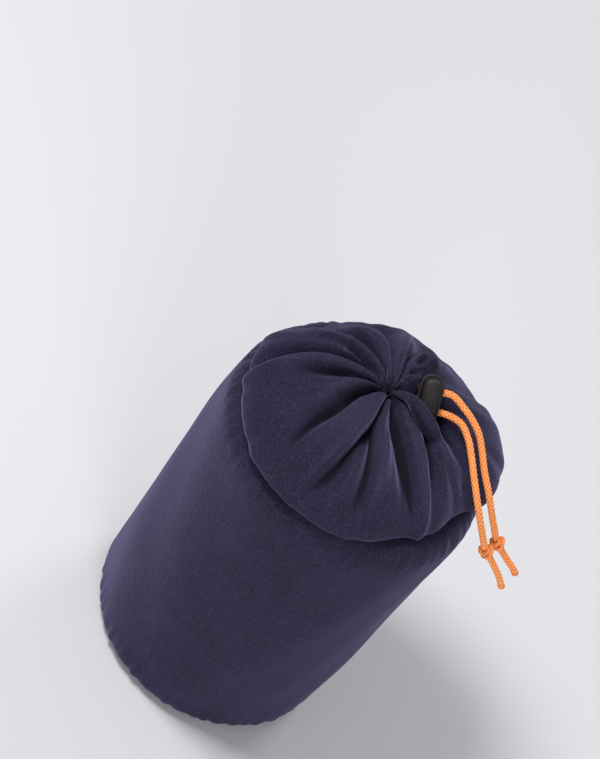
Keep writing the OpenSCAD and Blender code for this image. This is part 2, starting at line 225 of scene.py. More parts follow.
@dataclass
class Surface:
    """Points and faces of a piece before they become a mesh, with a value per point from which its finish
    paints highlight and shade.
    """

    points: np.ndarray
    faces: np.ndarray
    tone: np.ndarray
    uv: np.ndarray | None = None

    @classmethod
    def closed(
        cls, grid: np.ndarray, tone: np.ndarray | None = None, uv: np.ndarray | None = None
    ) -> "Surface":
        """A grid that closes on itself both ways, facing outwards.

        Args:
            grid: Points, rows by columns by three, in millimetres.
            tone: Value per point for the finish.
            uv: Two cloth coordinates per point.

        Returns:
            The surface.
        """
        rows, columns = grid.shape[:2]
        points = grid.reshape(-1, 3)
        faces = facing_out(points, grid_faces(rows, columns, True))
        flat_painted_light = np.zeros(len(points)) if tone is None else tone.reshape(-1)
        return cls(points, faces, flat_painted_light, None if uv is None else uv.reshape(-1, 2))

    @classmethod
    def capped(
        cls, grid: np.ndarray, tone: np.ndarray | None = None, uv: np.ndarray | None = None
    ) -> "Surface":
        """A grid that is closed round its columns, with a fan to the middle of its first and last rows.

        Args:
            grid: Points, rows by columns by three, in millimetres.
            tone: Value per point for the finish.
            uv: Two cloth coordinates per point.

        Returns:
            The surface, facing outwards.
        """
        rows, columns = grid.shape[:2]
        ends = np.stack([grid[0].mean(axis=0), grid[-1].mean(axis=0)])
        points = np.concatenate([grid.reshape(-1, 3), ends])
        k = np.arange(columns)
        after = (k + 1) % columns
        first = np.full(columns, rows * columns)
        last = first + 1
        top = (rows - 1) * columns
        low_fan = np.stack([first, after, k, first], axis=-1)
        high_fan = np.stack([last, top + k, top + after, last], axis=-1)
        faces = np.concatenate([grid_faces(rows, columns, False), low_fan, high_fan])
        flat_painted_light = np.zeros(rows * columns) if tone is None else tone.reshape(-1)
        flat_painted_light = np.concatenate([flat_painted_light, np.zeros(2)])
        flat_uv = None if uv is None else np.concatenate([uv.reshape(-1, 2), uv[[0, -1], 0]])
        return cls(points, facing_out(points, faces), flat_painted_light, flat_uv)

    @classmethod
    def joined(cls, parts: Sequence["Surface"]) -> "Surface":
        """Several surfaces as one, with their point numbers moved on."""
        starts = np.cumsum([0] + [len(p.points) for p in parts[:-1]])
        return cls(
            np.concatenate([p.points for p in parts]),
            np.concatenate([p.faces + s for p, s in zip(parts, starts)]),
            np.concatenate([p.tone for p in parts]),
            np.concatenate([p.uv for p in parts]) if all(p.uv is not None for p in parts) else None,
        )

    def piece(self, name: str, material: bpy.types.Material) -> bpy.types.Object:
        """The surface as a smooth-shaded mesh object at the origin.

        Args:
            name: Name of the object.
            material: Its finish.

        Returns:
            The object, linked to the scene.
        """
        mesh = bpy.data.meshes.new(name)
        kept = np.ones(self.faces.shape, bool)
        kept[:, 3] = self.faces[:, 0] != self.faces[:, 3]
        corners = self.faces[kept].astype(np.int32)
        ends = np.cumsum(kept.sum(axis=1))
        mesh.vertices.add(len(self.points))
        mesh.vertices.foreach_set("co", (self.points * MM).astype(np.float32).reshape(-1))
        mesh.loops.add(len(corners))
        mesh.loops.foreach_set("vertex_index", corners)
        mesh.polygons.add(len(ends))
        mesh.polygons.foreach_set("loop_start", np.concatenate([[0], ends[:-1]]).astype(np.int32))
        mesh.update(calc_edges=True)
        mesh.polygons.foreach_set("use_smooth", np.ones(len(mesh.polygons), bool))
        # The value per point that the fleece and braid finishes turn into painted highlight and shade.
        layer = mesh.attributes.new("tone", "FLOAT", "POINT")
        layer.data.foreach_set("value", self.tone.astype(np.float32))
        if self.uv is not None:
            chart = mesh.uv_layers.new(name="cloth")
            chart.uv.foreach_set("vector", self.uv[corners].astype(np.float32).reshape(-1))
        mesh.materials.append(material)
        mesh.update()
        obj = bpy.data.objects.new(name, mesh)
        bpy.context.scene.collection.objects.link(obj)
        return obj


class Signal:
    """A value on a shader socket. Arithmetic on it adds Math nodes to the finish that it belongs to."""

    def __init__(self, bench: "Bench", socket: bpy.types.NodeSocket) -> None:
        """Keeps the bench that adds nodes and the socket that holds the value."""
        self.bench = bench
        self.socket = socket

    def _math(self, operation: str, first: Any, second: Any) -> "Signal":
        """The result of a Math node on two values."""
        return self.bench.node("ShaderNodeMath", {"operation": operation}, {0: first, 1: second})

    def __add__(self, other: Any) -> "Signal":
        """Sum."""
        return self._math("ADD", self, other)

    def __mul__(self, other: Any) -> "Signal":
        """Product."""
        return self._math("MULTIPLY", self, other)

    def between(self, low: float, high: float) -> "Signal":
        """0 where the value is low, 1 where it is high, held inside that."""
        settings = {"interpolation_type": "SMOOTHSTEP"}
        return self.bench.node("ShaderNodeMapRange", settings, {0: self, 1: low, 2: high, 3: 0.0, 4: 1.0})


class Bench:
    """The node tree of one finish, and the means to add nodes to it."""

    def __init__(self, name: str) -> None:
        """Starts an empty finish of that name."""
        self.material = bpy.data.materials.new(name)
        self.material.use_nodes = True
        self.tree = self.material.node_tree
        self.tree.nodes.clear()

    def node(
        self,
        kind: str,
        settings: Mapping[str, Any] | None = None,
        inputs: Mapping[Any, Any] | None = None,
        output: Any = 0,
    ) -> Signal:
        """Adds a node.

        Args:
            kind: Blender's name of the node's type.
            settings: Properties of the node, set first.
            inputs: Values or signals for its sockets, by name or number.
            output: Name or number of the output to return.

        Returns:
            The output as a signal.
        """
        made = self.tree.nodes.new(kind)
        for key, value in (settings or {}).items():
            setattr(made, key, value)
        for key, value in (inputs or {}).items():
            self.feed(made.inputs[key], value)
        return Signal(self, made.outputs[output])

    def feed(self, socket: bpy.types.NodeSocket, value: Any) -> None:
        """Links a signal to a socket, or sets the socket's own value."""
        if isinstance(value, Signal):
            self.tree.links.new(value.socket, socket)
        else:
            socket.default_value = value

    def place(self) -> Signal:
        """Object coordinates, in metres."""
        return self.node("ShaderNodeTexCoord", output="Object")

    def tone(self) -> Signal:
        """The piece's own value per point, from which a finish paints highlight and shade."""
        return self.node("ShaderNodeAttribute", {"attribute_name": "tone"}, output="Fac")

    def chart(self) -> Signal:
        """The piece's own cloth coordinates."""
        return self.node("ShaderNodeUVMap", {"uv_map": "cloth"})

    def noise(self, place: Signal, scale: float, detail: float = 2.0, rough: float = 0.5) -> Signal:
        """Noise of 0 to 1 with that many features per metre."""
        inputs = {"Vector": place, "Scale": scale, "Detail": detail, "Roughness": rough}
        return self.node("ShaderNodeTexNoise", {}, inputs)

    def blend(self, share: Any, first: Any, second: Any) -> Signal:
        """A colour between two colours."""
        return self.node("ShaderNodeMix", {"data_type": "RGBA"}, {0: share, 6: first, 7: second}, 2)

    def bump(
        self, height: Signal, depth: float, strength: float = 1.0, under: Signal | None = None
    ) -> Signal:
        """A normal that follows a height of 0 to 1, depth metres deep, on top of another normal."""
        inputs: dict[Any, Any] = {"Strength": strength, "Distance": depth, "Height": height}
        if under is not None:
            inputs["Normal"] = under
        return self.node("ShaderNodeBump", {}, inputs)

    def finish(self, inputs: Mapping[str, Any]) -> bpy.types.Material:
        """Ends the tree in one surface shader with those inputs, and returns the material."""
        shader = self.node("ShaderNodeBsdfPrincipled", {}, inputs)
        end = self.tree.nodes.new("ShaderNodeOutputMaterial")
        self.feed(end.inputs["Surface"], shader)
        return self.material


@dataclass(frozen=True)
class FleeceFinish:
    """Brushed navy fleece: a matt pile of fine fibres in tufts, with painted highlight on a fold's crest and
    painted shade in a hollow.
    """

    name: str = "navy_fleece"
    body: Colour = from_screen(35, 32, 53)
    deep: Colour = from_screen(29, 27, 44)
    # Paler colour of the fibre specks, also used as painted highlight on the folds' crests.
    pale: Colour = from_screen(70, 67, 92)
    # Painted shade colour for the hollows between folds and for the drawn mouth.
    hollow: Colour = from_screen(14, 13, 21)
    fibre_scale: float = 2600.0
    tuft_scale: float = 900.0
    brush_scale: float = 70.0
    tuft_depth: float = 0.00045
    fibre_depth: float = 0.00018

    def material(self) -> bpy.types.Material:
        """Builds the finish.

        Returns:
            The material. Tufts and brushing vary its colour, and tufts and fibres its normal. It paints
            highlight on the folds' crests and shade in their hollows.
        """
        bench = Bench(self.name)
        place = bench.place()
        fibres = bench.noise(place, self.fibre_scale, 2.0, 0.6)
        tufts = bench.noise(place, self.tuft_scale, 3.0, 0.55)
        brushed = bench.noise(place, self.brush_scale, 4.0, 0.6)
        # Share of painted highlight on the folds' crests.
        crest = bench.tone().between(0.0, 1.0)
        # Share of painted shade in the hollows.
        valley = (bench.tone() * -1.0).between(0.0, 1.0)
        ground = bench.blend(brushed.between(0.3, 0.7), self.deep, self.body)
        speck = (fibres * 0.55 + tufts * 0.45).between(0.46, 0.72)
        # Real fibre specks and painted highlight on the crests both mix in the pale colour.
        specks_and_painted_highlight = bench.blend(speck * 0.6 + crest * 0.2, ground, self.pale)
        # Painted shade: the hollows darken towards the hollow colour.
        shaded = bench.blend(valley * 0.85, specks_and_painted_highlight, self.hollow)
        normal = bench.bump(fibres, self.fibre_depth, 0.6, bench.bump(tufts, self.tuft_depth, 0.6))
        return bench.finish(
            {
                "Base Color": shaded,
                "Roughness": 0.95,
                "Specular IOR Level": 0.15,
                "Sheen Weight": 0.6,
                "Sheen Roughness": 0.4,
                "Sheen Tint": from_screen(146, 139, 186),
                "Normal": normal,
            }
        )


@dataclass(frozen=True)
class BraidFinish:
    """Orange braided cord: smooth filaments along each yarn, with painted shade between the yarns."""

    name: str = "orange_braid"
    body: Colour = from_screen(246, 140, 64)
    # Painted shade colour between the yarns, on the core and on the sealed tips.
    deep: Colour = from_screen(190, 86, 34)
    pale: Colour = from_screen(252, 172, 102)
    filament_scale: float = 14.0
    filament_depth: float = 0.00006

    def material(self) -> bpy.types.Material:
        """Builds the finish.

        Returns:
            The material. Its filaments follow the yarns' own coordinates, and painted shade falls between the
            yarns, away from their crowns.
        """
        bench = Bench(self.name)
        chart = bench.chart()
        stretched = bench.node(
            "ShaderNodeVectorMath", {"operation": "MULTIPLY"}, {0: chart, 1: (self.filament_scale, 1.5, 1.0)}
        )
        filaments = bench.noise(stretched, 1.0, 2.0, 0.5)
        handled = bench.noise(bench.place(), 160.0, 3.0)
        # The piece's value per point: high on a yarn's crown and low between yarns.
        crown = bench.tone()
        yarn = bench.blend(filaments.between(0.3, 0.7), self.body, self.pale)
        # Painted shade between the yarns, varied at random by the handled noise.
        shaded = bench.blend((crown * 0.9 + handled * 0.25).between(0.0, 0.75), self.deep, yarn)
        return bench.finish(
            {
                "Base Color": shaded,
                "Roughness": filaments * 0.15 + 0.5,
                "Specular IOR Level": 0.35,
                "Sheen Weight": 0.15,
                "Sheen Roughness": 0.4,
                "Normal": bench.bump(filaments, self.filament_depth, 0.7),
            }
        )


@dataclass(frozen=True)
class PlasticFinish:
    """Black moulded plastic with a fine grain, handled smooth in places."""

    name: str = "black_plastic"
    body: Colour = from_screen(29, 25, 25)
    worn: Colour = from_screen(42, 37, 37)
    grain_scale: float = 5200.0
    grain_depth: float = 0.00002

    def material(self) -> bpy.types.Material:
        """Builds the finish and returns the material."""
        bench = Bench(self.name)
        place = bench.place()
        grain = bench.noise(place, self.grain_scale, 2.0, 0.6)
        handled = bench.noise(place, 260.0, 4.0, 0.6)
        return bench.finish(
            {
                "Base Color": bench.blend(handled.between(0.45, 0.75) * 0.5, self.body, self.worn),
                "Roughness": handled * 0.16 + 0.46,
                "Specular IOR Level": 0.35,
                "Normal": bench.bump(grain, self.grain_depth, 0.5),
            }
        )


@dataclass(frozen=True)
class WireFinish:
    """Bright spring wire with fine drawing marks."""

    name: str = "spring_wire"
    body: Colour = from_screen(196, 196, 200)
    stain: Colour = from_screen(140, 138, 136)

    def material(self) -> bpy.types.Material:
        """Builds the finish and returns the material."""
        bench = Bench(self.name)
        marks = bench.noise(bench.place(), 3000.0, 3.0)
        cloud = bench.noise(bench.place(), 500.0, 3.0)
        return bench.finish(
            {
                "Base Color": bench.blend(cloud.between(0.5, 0.8) * 0.4, self.body, self.stain),
                "Metallic": 1.0,
                "Roughness": marks * 0.2 + 0.2,
            }
        )


@dataclass(frozen=True)
class FoamFinish:
    """Grey padding foam with open cells, darker in the cells' pits as painted shade."""

    name: str = "padding_foam"
    body: Colour = from_screen(196, 196, 190)
    deep: Colour = from_screen(150, 150, 146)
    cell_scale: float = 900.0

    def material(self) -> bpy.types.Material:
        """Builds the finish and returns the material."""
        bench = Bench(self.name)
        place = bench.place()
        cells = bench.node("ShaderNodeTexVoronoi", {}, {"Vector": place, "Scale": self.cell_scale})
        cloud = bench.noise(place, 60.0, 3.0)
        return bench.finish(
            {
                # Painted shade in the pits of the cells, varied at random by the cloud.
                "Base Color": bench.blend(cells.between(0.2, 0.7) * 0.7 + cloud * 0.3, self.deep, self.body),
                "Roughness": 0.9,
                "Normal": bench.bump(cells, 0.0006, 0.7),
            }
        )


@dataclass(frozen=True)
class LiningFinish:
    """Dark navy lining cloth with a plain weave that follows the cloth's own coordinates in millimetres."""

    name: str = "lining_cloth"
    body: Colour = from_screen(34, 34, 52)
    pale: Colour = from_screen(52, 52, 76)
    threads_per_mm: float = 1.6
    wave_scale: float = 0.31

    def material(self) -> bpy.types.Material:
        """Builds the finish.

        Returns:
            The material. Warp and weft are two wave patterns across each other.
        """
        bench = Bench(self.name)
        chart = bench.chart()
        per_mm = {0: chart, "Scale": self.threads_per_mm}
        spread = bench.node("ShaderNodeVectorMath", {"operation": "SCALE"}, per_mm)
        waves = {"Vector": spread, "Scale": self.wave_scale}
        warp = bench.node("ShaderNodeTexWave", {"bands_direction": "X"}, waves)
        weft = bench.node("ShaderNodeTexWave", {"bands_direction": "Y"}, waves)
        weave = warp * weft
        cloud = bench.noise(bench.place(), 80.0, 3.0)
        return bench.finish(
            {
                "Base Color": bench.blend(weave * 0.6 + cloud * 0.3, self.body, self.pale),
                "Roughness": weave * -0.15 + 0.7,
                "Sheen Weight": 0.2,
                "Normal": bench.bump(weave, 0.0002, 0.6),
            }
        )


class Finish(Enum):
    """The finishes of the pouch, each with the name of its slot in the part's record."""

    FLEECE = ("fleece", FleeceFinish())
    CORD = ("cord", BraidFinish())
    PLASTIC = ("lock_plastic", PlasticFinish())
    STEEL = ("spring_steel", WireFinish())
    FOAM = ("foam", FoamFinish())
    LINING = ("lining", LiningFinish())

    @property
    def slot(self) -> str:
        """Name of the slot in the record."""
        return self.value[0]


class Wardrobe:
    """Every finish, made once."""

    def __init__(self) -> None:
        """Makes the materials."""
        self.materials = {finish: finish.value[1].material() for finish in Finish}

    def dress(self, node: bpy.types.Object, finish: Finish) -> None:
        """Gives a solid that stays shown its finish."""
        node.data.materials.clear()
        node.data.materials.append(self.materials[finish])

    def piece(self, surface: Surface, name: str, finish: Finish, *nodes: str) -> bpy.types.Object:
        """A surface as a piece of the pouch that stands for some of the part's solids.

        Args:
            surface: Its points and faces.
            name: Its name.
            finish: Its finish.
            nodes: Solids that it replaces.

        Returns:
            The object, riding on the pouch.
        """
        obj = surface.piece(name, self.materials[finish])
        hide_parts(*nodes)
        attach(obj, "pouch")
        LOG.info("%s: %d points, stands for %s", name, len(surface.points), ", ".join(nodes))
        return obj


@dataclass(frozen=True)
class LockPose:
    """Where the cord lock sits above the rim's middle and how it leans, in millimetres and degrees."""

    at: Place = (10.6, 8.4, 29.2)
    turn: float = 18.0
    rise: float = 14.0
    roll: float = 39.0
    half_pitch: float = 4.0
    straight_half: float = 5.0
    end_radius: float = 5.0
    bottom: float = -8.0
    travel: float = 4.0

    @property
    def axes(self) -> np.ndarray:
        """The lock's own directions as columns: along its holes, across them, and along its plunger."""
        return turning(2, self.turn) @ turning(1, -self.rise) @ turning(0, self.roll)

    def to_rim(self, own: np.ndarray) -> np.ndarray:
        """Points in the lock's own directions, as places above the rim's middle."""
        return np.array(self.at) + own @ self.axes.T

    def to_own(self, places: np.ndarray) -> np.ndarray:
        """Places above the rim's middle, in the lock's own directions."""
        return (places - np.array(self.at)) @ self.axes

    def outside(self, own: np.ndarray) -> np.ndarray:
        """How far points lie outside the lock's outline, which is drawn out over its way along the cord."""
        beside = np.maximum(np.abs(own[..., 0] - 0.5 * self.travel) - 0.5 * self.travel, 0.0)
        beyond = np.maximum(np.abs(own[..., 1]) - self.straight_half, 0.0)
        return np.hypot(beside, beyond) - self.end_radius


@dataclass(frozen=True)
class PleatLine:
    """A ridge or a valley of the gathered top, from the mouth outwards.

    The directions in degrees and the lifts in millimetres are given at GatheredTop.STATIONS. A crisp line
    of 1 has straight flanks, and one of 0 is well rounded.
    """

    angles: tuple[float, ...]
    lifts: tuple[float, ...]
    crisp: float = 0.0


@dataclass(frozen=True)
class Slump:
    """A side where the gathered top is drawn in or lies flat near its rim.

    The direction and the half spread are in degrees, and the shares are of the radius and of the height.
    """

    direction: float
    spread: float
    radius_share: float
    height_share: float

    def spread_over(self, angle: np.ndarray) -> np.ndarray:
        """How much of the slump is felt in each direction: exp(-(degrees away / spread)^2)."""
        away = (np.degrees(angle) - self.direction + 180.0) % 360.0 - 180.0
        return np.exp(-((away / self.spread) ** 2))


@dataclass(frozen=True)
class Stroke:
    """A ridge of the gathered top that doesn't run to the mouth, or a crease where its lift is negative.

    Its line is given in plan from the rim's middle, in millimetres.
    """

    line: tuple[tuple[float, float], ...]
    lift: float
    half_width: float

    def raised(self, x: np.ndarray, y: np.ndarray) -> np.ndarray:
        """Lift at each place: lift * exp(-(distance from the line / half width)^2)."""
        stops = np.array(self.line, float)
        away = np.full(np.shape(x), np.inf)
        for start, end in zip(stops[:-1], stops[1:]):
            way = end - start
            share = np.clip(((x - start[0]) * way[0] + (y - start[1]) * way[1]) / (way @ way), 0.0, 1.0)
            away = np.minimum(away, np.hypot(x - start[0] - share * way[0], y - start[1] - share * way[1]))
        return self.lift * np.exp(-((away / self.half_width) ** 2))


@dataclass(frozen=True)
class RollStop:
    """A stop of the rolled fold in the lock's own directions, in millimetres.

    The edge is what shows over the lock, along and across it. The middle's height is above the cords' axis.
    """

    edge: tuple[float, float]
    half_width: float
    height: float
    half_thick: float


@dataclass
class RolledFold:
    """The fold that rolls over the lock's near end on its way from the mouth to the ridge beyond the lock."""

    STOPS = (
        RollStop((-14.5, -0.8), 1.0, 1.2, 1.0),
        RollStop((-12.5, 0.1), 1.4, 4.0, 1.5),
        RollStop((-9.4, 0.5), 1.9, 7.6, 1.9),
        RollStop((-5.6, -0.2), 2.5, 11.6, 2.1),
        RollStop((-1.6, -2.6), 3.1, 13.8, 2.2),
        RollStop((2.6, -6.0), 3.5, 13.6, 2.2),
        RollStop((6.2, -9.4), 3.4, 11.0, 2.2),
        RollStop((8.6, -13.2), 2.6, 7.0, 1.8),
        RollStop((10.0, -16.6), 1.4, 3.6, 1.0),
    )

    rows: int = 90
    columns: int = 32
    fall: float = 0.45
    # Painted highlight on the edge that shows, and painted shade behind it.
    painted_edge_highlight: float = 0.3
    shade: float = 1.3

    def surface(self, lock: LockPose) -> Surface:
        """Ellipses along the fold that end at the edge that shows and fall away from it on the other side.

        Args:
            lock: The lock's place.

        Returns:
            The surface, in millimetres from the middle of the base, with painted highlight on the edge that
            shows and painted shade away from it.
        """
        stops = np.array([(*stop.edge, stop.half_width, stop.height, stop.half_thick) for stop in self.STOPS])
        length = run_along(stops[:, :2])
        fine = through(length, stops, np.linspace(0.0, length[-1], self.rows))
        edge = fine[:, :2]
        wide, high, thick = (fine[:, k, None] for k in (2, 3, 4))
        ahead = unit(np.gradient(edge, axis=0))
        toward = np.stack([-ahead[:, 1], ahead[:, 0]], axis=-1)
        turn = directions(self.columns)
        back = wide * (np.cos(turn) - 1.0)
        flat = edge[:, None, :] + back[..., None] * toward[:, None, :]
        level = high + thick * np.sin(turn) + self.fall * back
        places = lock.to_rim(np.concatenate([flat, level[..., None]], axis=-1))
        # Painted shade on the side away from the edge that shows.
        behind = ease(0.35, 0.75, 0.5 - 0.5 * np.cos(turn))
        tone = np.broadcast_to(self.painted_edge_highlight - self.shade * behind, level.shape)
        return Surface.capped(places + RIM, tone)


@dataclass
class GatheredTop:
    """The fleece top, gathered from the rim seam to the drawn mouth, in millimetres above the rim's plane."""

    STATIONS = (4.0, 10.0, 15.0, 20.0, 30.0, 40.0, 50.0, 57.0)
    LINES = (
        PleatLine((38, 40, 28, 18, 8, 2, -5, -9), (0, -2, -3, -3, -2.2, -1.4, -1, -0.3)),
        PleatLine((45, 52, 42, 32, 22, 15, 10, 8), (0.5, 0.5, 1, 1.2, 1, 0.7, 0.3, 0.1)),
        PleatLine((60, 62, 55, 46, 36, 33, 34, 36), (0, -1, -1.5, -1.5, -1, -0.8, -0.6, -0.2)),
        PleatLine((67, 70, 66, 58, 50, 46, 45, 46), (0, 0.5, 1, 1, 1, 0.8, 0.4, 0.1)),
        PleatLine((75, 80, 78, 74, 66, 60, 58, 58), (-1, -1.5, -1.4, -1, -0.8, -0.6, -0.4, 0)),
        PleatLine((88, 93, 95, 95, 88, 74, 70, 70), (1.5, 2.5, 3, 3, 2, 1.5, 0.8, 0.2)),
        PleatLine((98, 99, 100, 100.5, 99.5, 95.5, 92, 91), (-2, -3.5, -4, -4, -3.4, -2.4, -1, 0)),
        PleatLine((108, 108, 110, 111, 109, 106, 105, 105), (1.5, 2.5, 3, 3.2, 3, 2.4, 1.2, 0.2)),
        PleatLine(
            (114, 114.5, 114.5, 114.5, 113, 112.5, 113, 114),
            (-1.6, -3.6, -5, -6, -6, -4.8, -2.6, -0.4),
        ),
        PleatLine(
            (120, 119, 118.4, 118, 117.5, 117, 118, 119),
            (-2, -4.2, -5.6, -6.4, -6.4, -5, -2.6, -0.4),
        ),
        PleatLine((131, 130, 131, 132, 136, 140, 142, 142), (1.5, 3, 3.5, 4, 3.5, 2.5, 1.2, 0.2)),
        PleatLine((142, 141, 142, 143.5, 148, 152, 154, 155), (-1.5, -3.5, -4.4, -4.8, -4.4, -3, -1.4, 0)),
        PleatLine((152, 152, 152.5, 154, 159, 166, 172, 175), (1.5, 2.8, 3, 3, 3, 2.4, 1.4, 0.3)),
        PleatLine((160, 159, 160, 161.5, 166, 172, 178, 181), (-1.5, -3.4, -4, -3, 0.6, 1.4, 1, 0)),
        PleatLine((166, 165.5, 166, 167.5, 173, 179, 185, 188), (1.2, 1.5, 1.8, 1.8, 1.8, 1.4, 0.8, 0.1)),
        PleatLine((172, 172, 172, 174, 180, 186, 192, 196), (-1.5, -3.5, -4.8, -5.4, -5, -4.4, -3, -1)),
        PleatLine((185, 187, 188, 189, 191, 194, 197.5, 201), (1.5, 3, 3.8, 4, 4, 3.4, 2, 0.5)),
        PleatLine((192, 193, 193.5, 194, 195.5, 199, 204, 207), (-1.2, -2.4, -2.4, -2.4, -2, -0.4, 1, 0.3)),
        PleatLine((198, 199, 202, 206, 219, 228, 234, 237), (1.2, 1.8, 2.2, 2.4, 2.2, 1.8, 1, 0.2)),
        PleatLine(
            (210, 217, 222.5, 230.5, 237, 241, 244, 246),
            (-1.5, -3.2, -4.2, -4.8, -4.2, -3, -1.2, -0.1),
        ),
        PleatLine((225, 235, 235.5, 238, 243, 247, 250, 252), (1.2, 1.8, 2.2, 2.6, 2.6, 2, 1.1, 0.2)),
        PleatLine((252, 264, 265, 263.8, 263, 262.5, 261.3, 261), (1.5, 2.2, 2.6, 2.6, 2.6, 2.2, 1.4, 0.3)),
        PleatLine(
            (264, 270.5, 269.5, 267.5, 266.5, 266, 264.8, 264),
            (-2, -4, -5.4, -6.2, -6.4, -5.6, -2.8, -0.3),
        ),
        PleatLine(
            (268.5, 272.3, 272.3, 273, 273, 276, 279, 280),
            (-1, -3.6, -4.4, -4, -0.6, 0.6, 0.5, 0.1),
        ),
        PleatLine(
            (274, 274.8, 275.2, 279.5, 284.8, 286.3, 286.5, 286),
            (-1.3, -3.2, -4.4, -5.2, -5.4, -4.2, -2, -0.1),
        ),
        PleatLine((279, 279, 279.4, 283.2, 288.4, 290, 291, 292), (1.2, 1.8, 2.2, 2.6, 2.8, 2.4, 1.4, 0.3)),
        PleatLine(
            (303, 305, 307, 310.8, 313.3, 315.5, 318.5, 320),
            (-1.3, -3.2, -4.2, -5, -5.6, -5, -3.2, -0.5),
        ),
        PleatLine((345, 334, 329.5, 329, 324, 322, 322.5, 323), (0.7, 2, 2.7, 2.8, 2.8, 2.5, 1.7, 0.5)),
        PleatLine(
            (362, 370, 356, 344.5, 334.5, 329.5, 327.5, 327),
            (-0.5, -1.2, -1.8, -2.4, -2.8, -2.4, -1.6, -0.4),
        ),
        PleatLine((378, 385, 371, 358, 346, 341, 338, 337), (1, 2, 3, 2.6, 1.2, 0.4, 0.2, 0), 0.3),
    )

    STROKES = (
        Stroke(((-2.4, 6.2), (-3.4, 14.0), (-3.0, 23.0), (-0.5, 27.5), (4.0, 28.5)), 2.4, 2.4),
        Stroke(((-1.4, 8.3), (-1.8, 14.1), (-1.6, 20.0), (-0.2, 24.0)), -2.8, 1.3),
        Stroke(((0.2, 10.2), (0.0, 15.2), (1.4, 20.6)), -2.4, 1.3),
        Stroke(((-25.1, 8.9), (-21.7, 7.7), (-16.1, 4.3)), -2.6, 1.5),
        Stroke(((1.5, -4.2), (6.2, -8.9), (11.9, -11.1)), -2.0, 1.3),
    )
    SLUMPS = (
        Slump(85.0, 36.0, 0.02, 0.5),
        Slump(146.0, 28.0, 0.125, 0.45),
        Slump(318.0, 24.0, 0.125, -0.1),
        Slump(350.0, 15.0, 0.11, 0.0),
        Slump(32.0, 18.0, -0.045, 0.0),
        Slump(203.0, 22.0, 0.035, 0.0),
    )
    SLACK = (
        (0.35, 5, 0.06, 0.4),
        (0.3, 9, -0.05, 2.1),
        (0.22, 17, 0.11, 4.0),
        (0.16, 29, 0.07, 1.2),
        (0.12, 41, -0.09, 5.2),
    )

    radius: float = 56.6
    belly_z: float = 4.0
    height: float = 27.0
    cloth: float = 1.6
    columns: int = 480
    rows: int = 130
    inner_step: int = 3
    pleat_gain: float = 1.5
    mouth: tuple[float, float] = (-2.2, 0.6)
    throat: tuple[float, float] = (1.0, 0.9)
    lip_radius: float = 1.9
    nest_floor: float = 0.8
    nest_rise: float = 24.0
    nest_wall: float = 0.25
    strand_cap: float = 16.0
    strand_drop: float = 19.0
    free_rise: float = 30.0
    hood_lift: float = 3.3
    hood_round: float = 0.2
    hood_run_out: float = 0.1
    hood_steep: float = 6.0
    hood_blend: float = 1.5
    shade_reach: float = 5.0
    # Painted shade in the drawn mouth.
    mouth_shade: float = 1.3
    throat_rows: int = 12
    least_radius: float = 0.15
    fine_steps: int = 1200
    flat_width: float = 0.356
    flat_length: float = 0.072

    def profile(self) -> np.ndarray:
        """Section of the top from the rim seam over the belly and the dome to the lip and the throat.

        Returns:
            Radius and height above the rim's plane, one pair per row, closer together near the mouth.
        """
        lean = np.radians(np.arange(7.0, 80.0, 8.0))
        rise = self.height - self.belly_z
        dome = np.stack([self.radius * np.cos(lean), self.belly_z + rise * np.sin(lean)], axis=-1)
        seam = np.array([[43.5, 0.6], [51.5, 0.4], [55.2, 0.9], [56.8, 2.8]])
        lip_r = self.lip_radius
        lip = np.array([[6.6, 26.9], [4.2, 26.6], [lip_r + 0.7, 25.7], [lip_r, 24.2], [lip_r + 0.3, 22.6]])
        throat = np.array([[3.4, 20.6], [4.8, 18.4], [5.2, 16.2]])
        knots = np.concatenate([seam, dome, lip, throat])
        length = run_along(knots)
        fine = through(length, knots, np.linspace(0.0, length[-1], self.fine_steps))
        weight = 1.0 / (8.0 + fine[:, 0])
        place = np.concatenate([[0.0], np.cumsum(0.5 * (weight[1:] + weight[:-1]))])
        number = np.arange(float(self.fine_steps))
        at = np.interp(np.linspace(0.0, place[-1], self.rows), place, number)
        return np.stack([np.interp(at, number, fine[:, k]) for k in range(2)], axis=-1)

    def lifts(self, radius: np.ndarray, angle: np.ndarray) -> np.ndarray:
        """Height of the pleats over the plain dome.

        Between a valley and the next ridge the height follows a quarter sine, which is steep at the valley
        and level on the ridge. A crisp ridge mixes a straight flank into it.

        Args:
            radius: Distance of each row from the middle.
            angle: Direction of each column in radians.

        Returns:
            Lift in millimetres, rows by columns.
        """
        ways = through(self.STATIONS, np.array([line.angles for line in self.LINES], float).T, radius)
        highs = through(self.STATIONS, np.array([line.lifts for line in self.LINES], float).T, radius)
        direction = np.degrees(angle)[None, :]
        total = np.zeros((len(radius), len(angle)))
        count = len(self.LINES)
        for k, line in enumerate(self.LINES):
            following = self.LINES[(k + 1) % count]
            start = ways[:, k, None]
            gap = np.mod(ways[:, (k + 1) % count, None] - start, 360.0)
            t = np.mod(direction - start, 360.0) / gap
            here, there = highs[:, k, None], highs[:, (k + 1) % count, None]
            rising = np.sin(0.5 * math.pi * np.clip(t, 0, 1))
            falling = 1.0 - np.cos(0.5 * math.pi * np.clip(t, 0, 1))
            rising = rising + following.crisp * (t - rising)
            falling = falling + line.crisp * (t - falling)
            shape = here + (there - here) * np.where(there > here, rising, falling)
            total = np.where(t < 1.0, shape, total)
        return self.pleat_gain * total

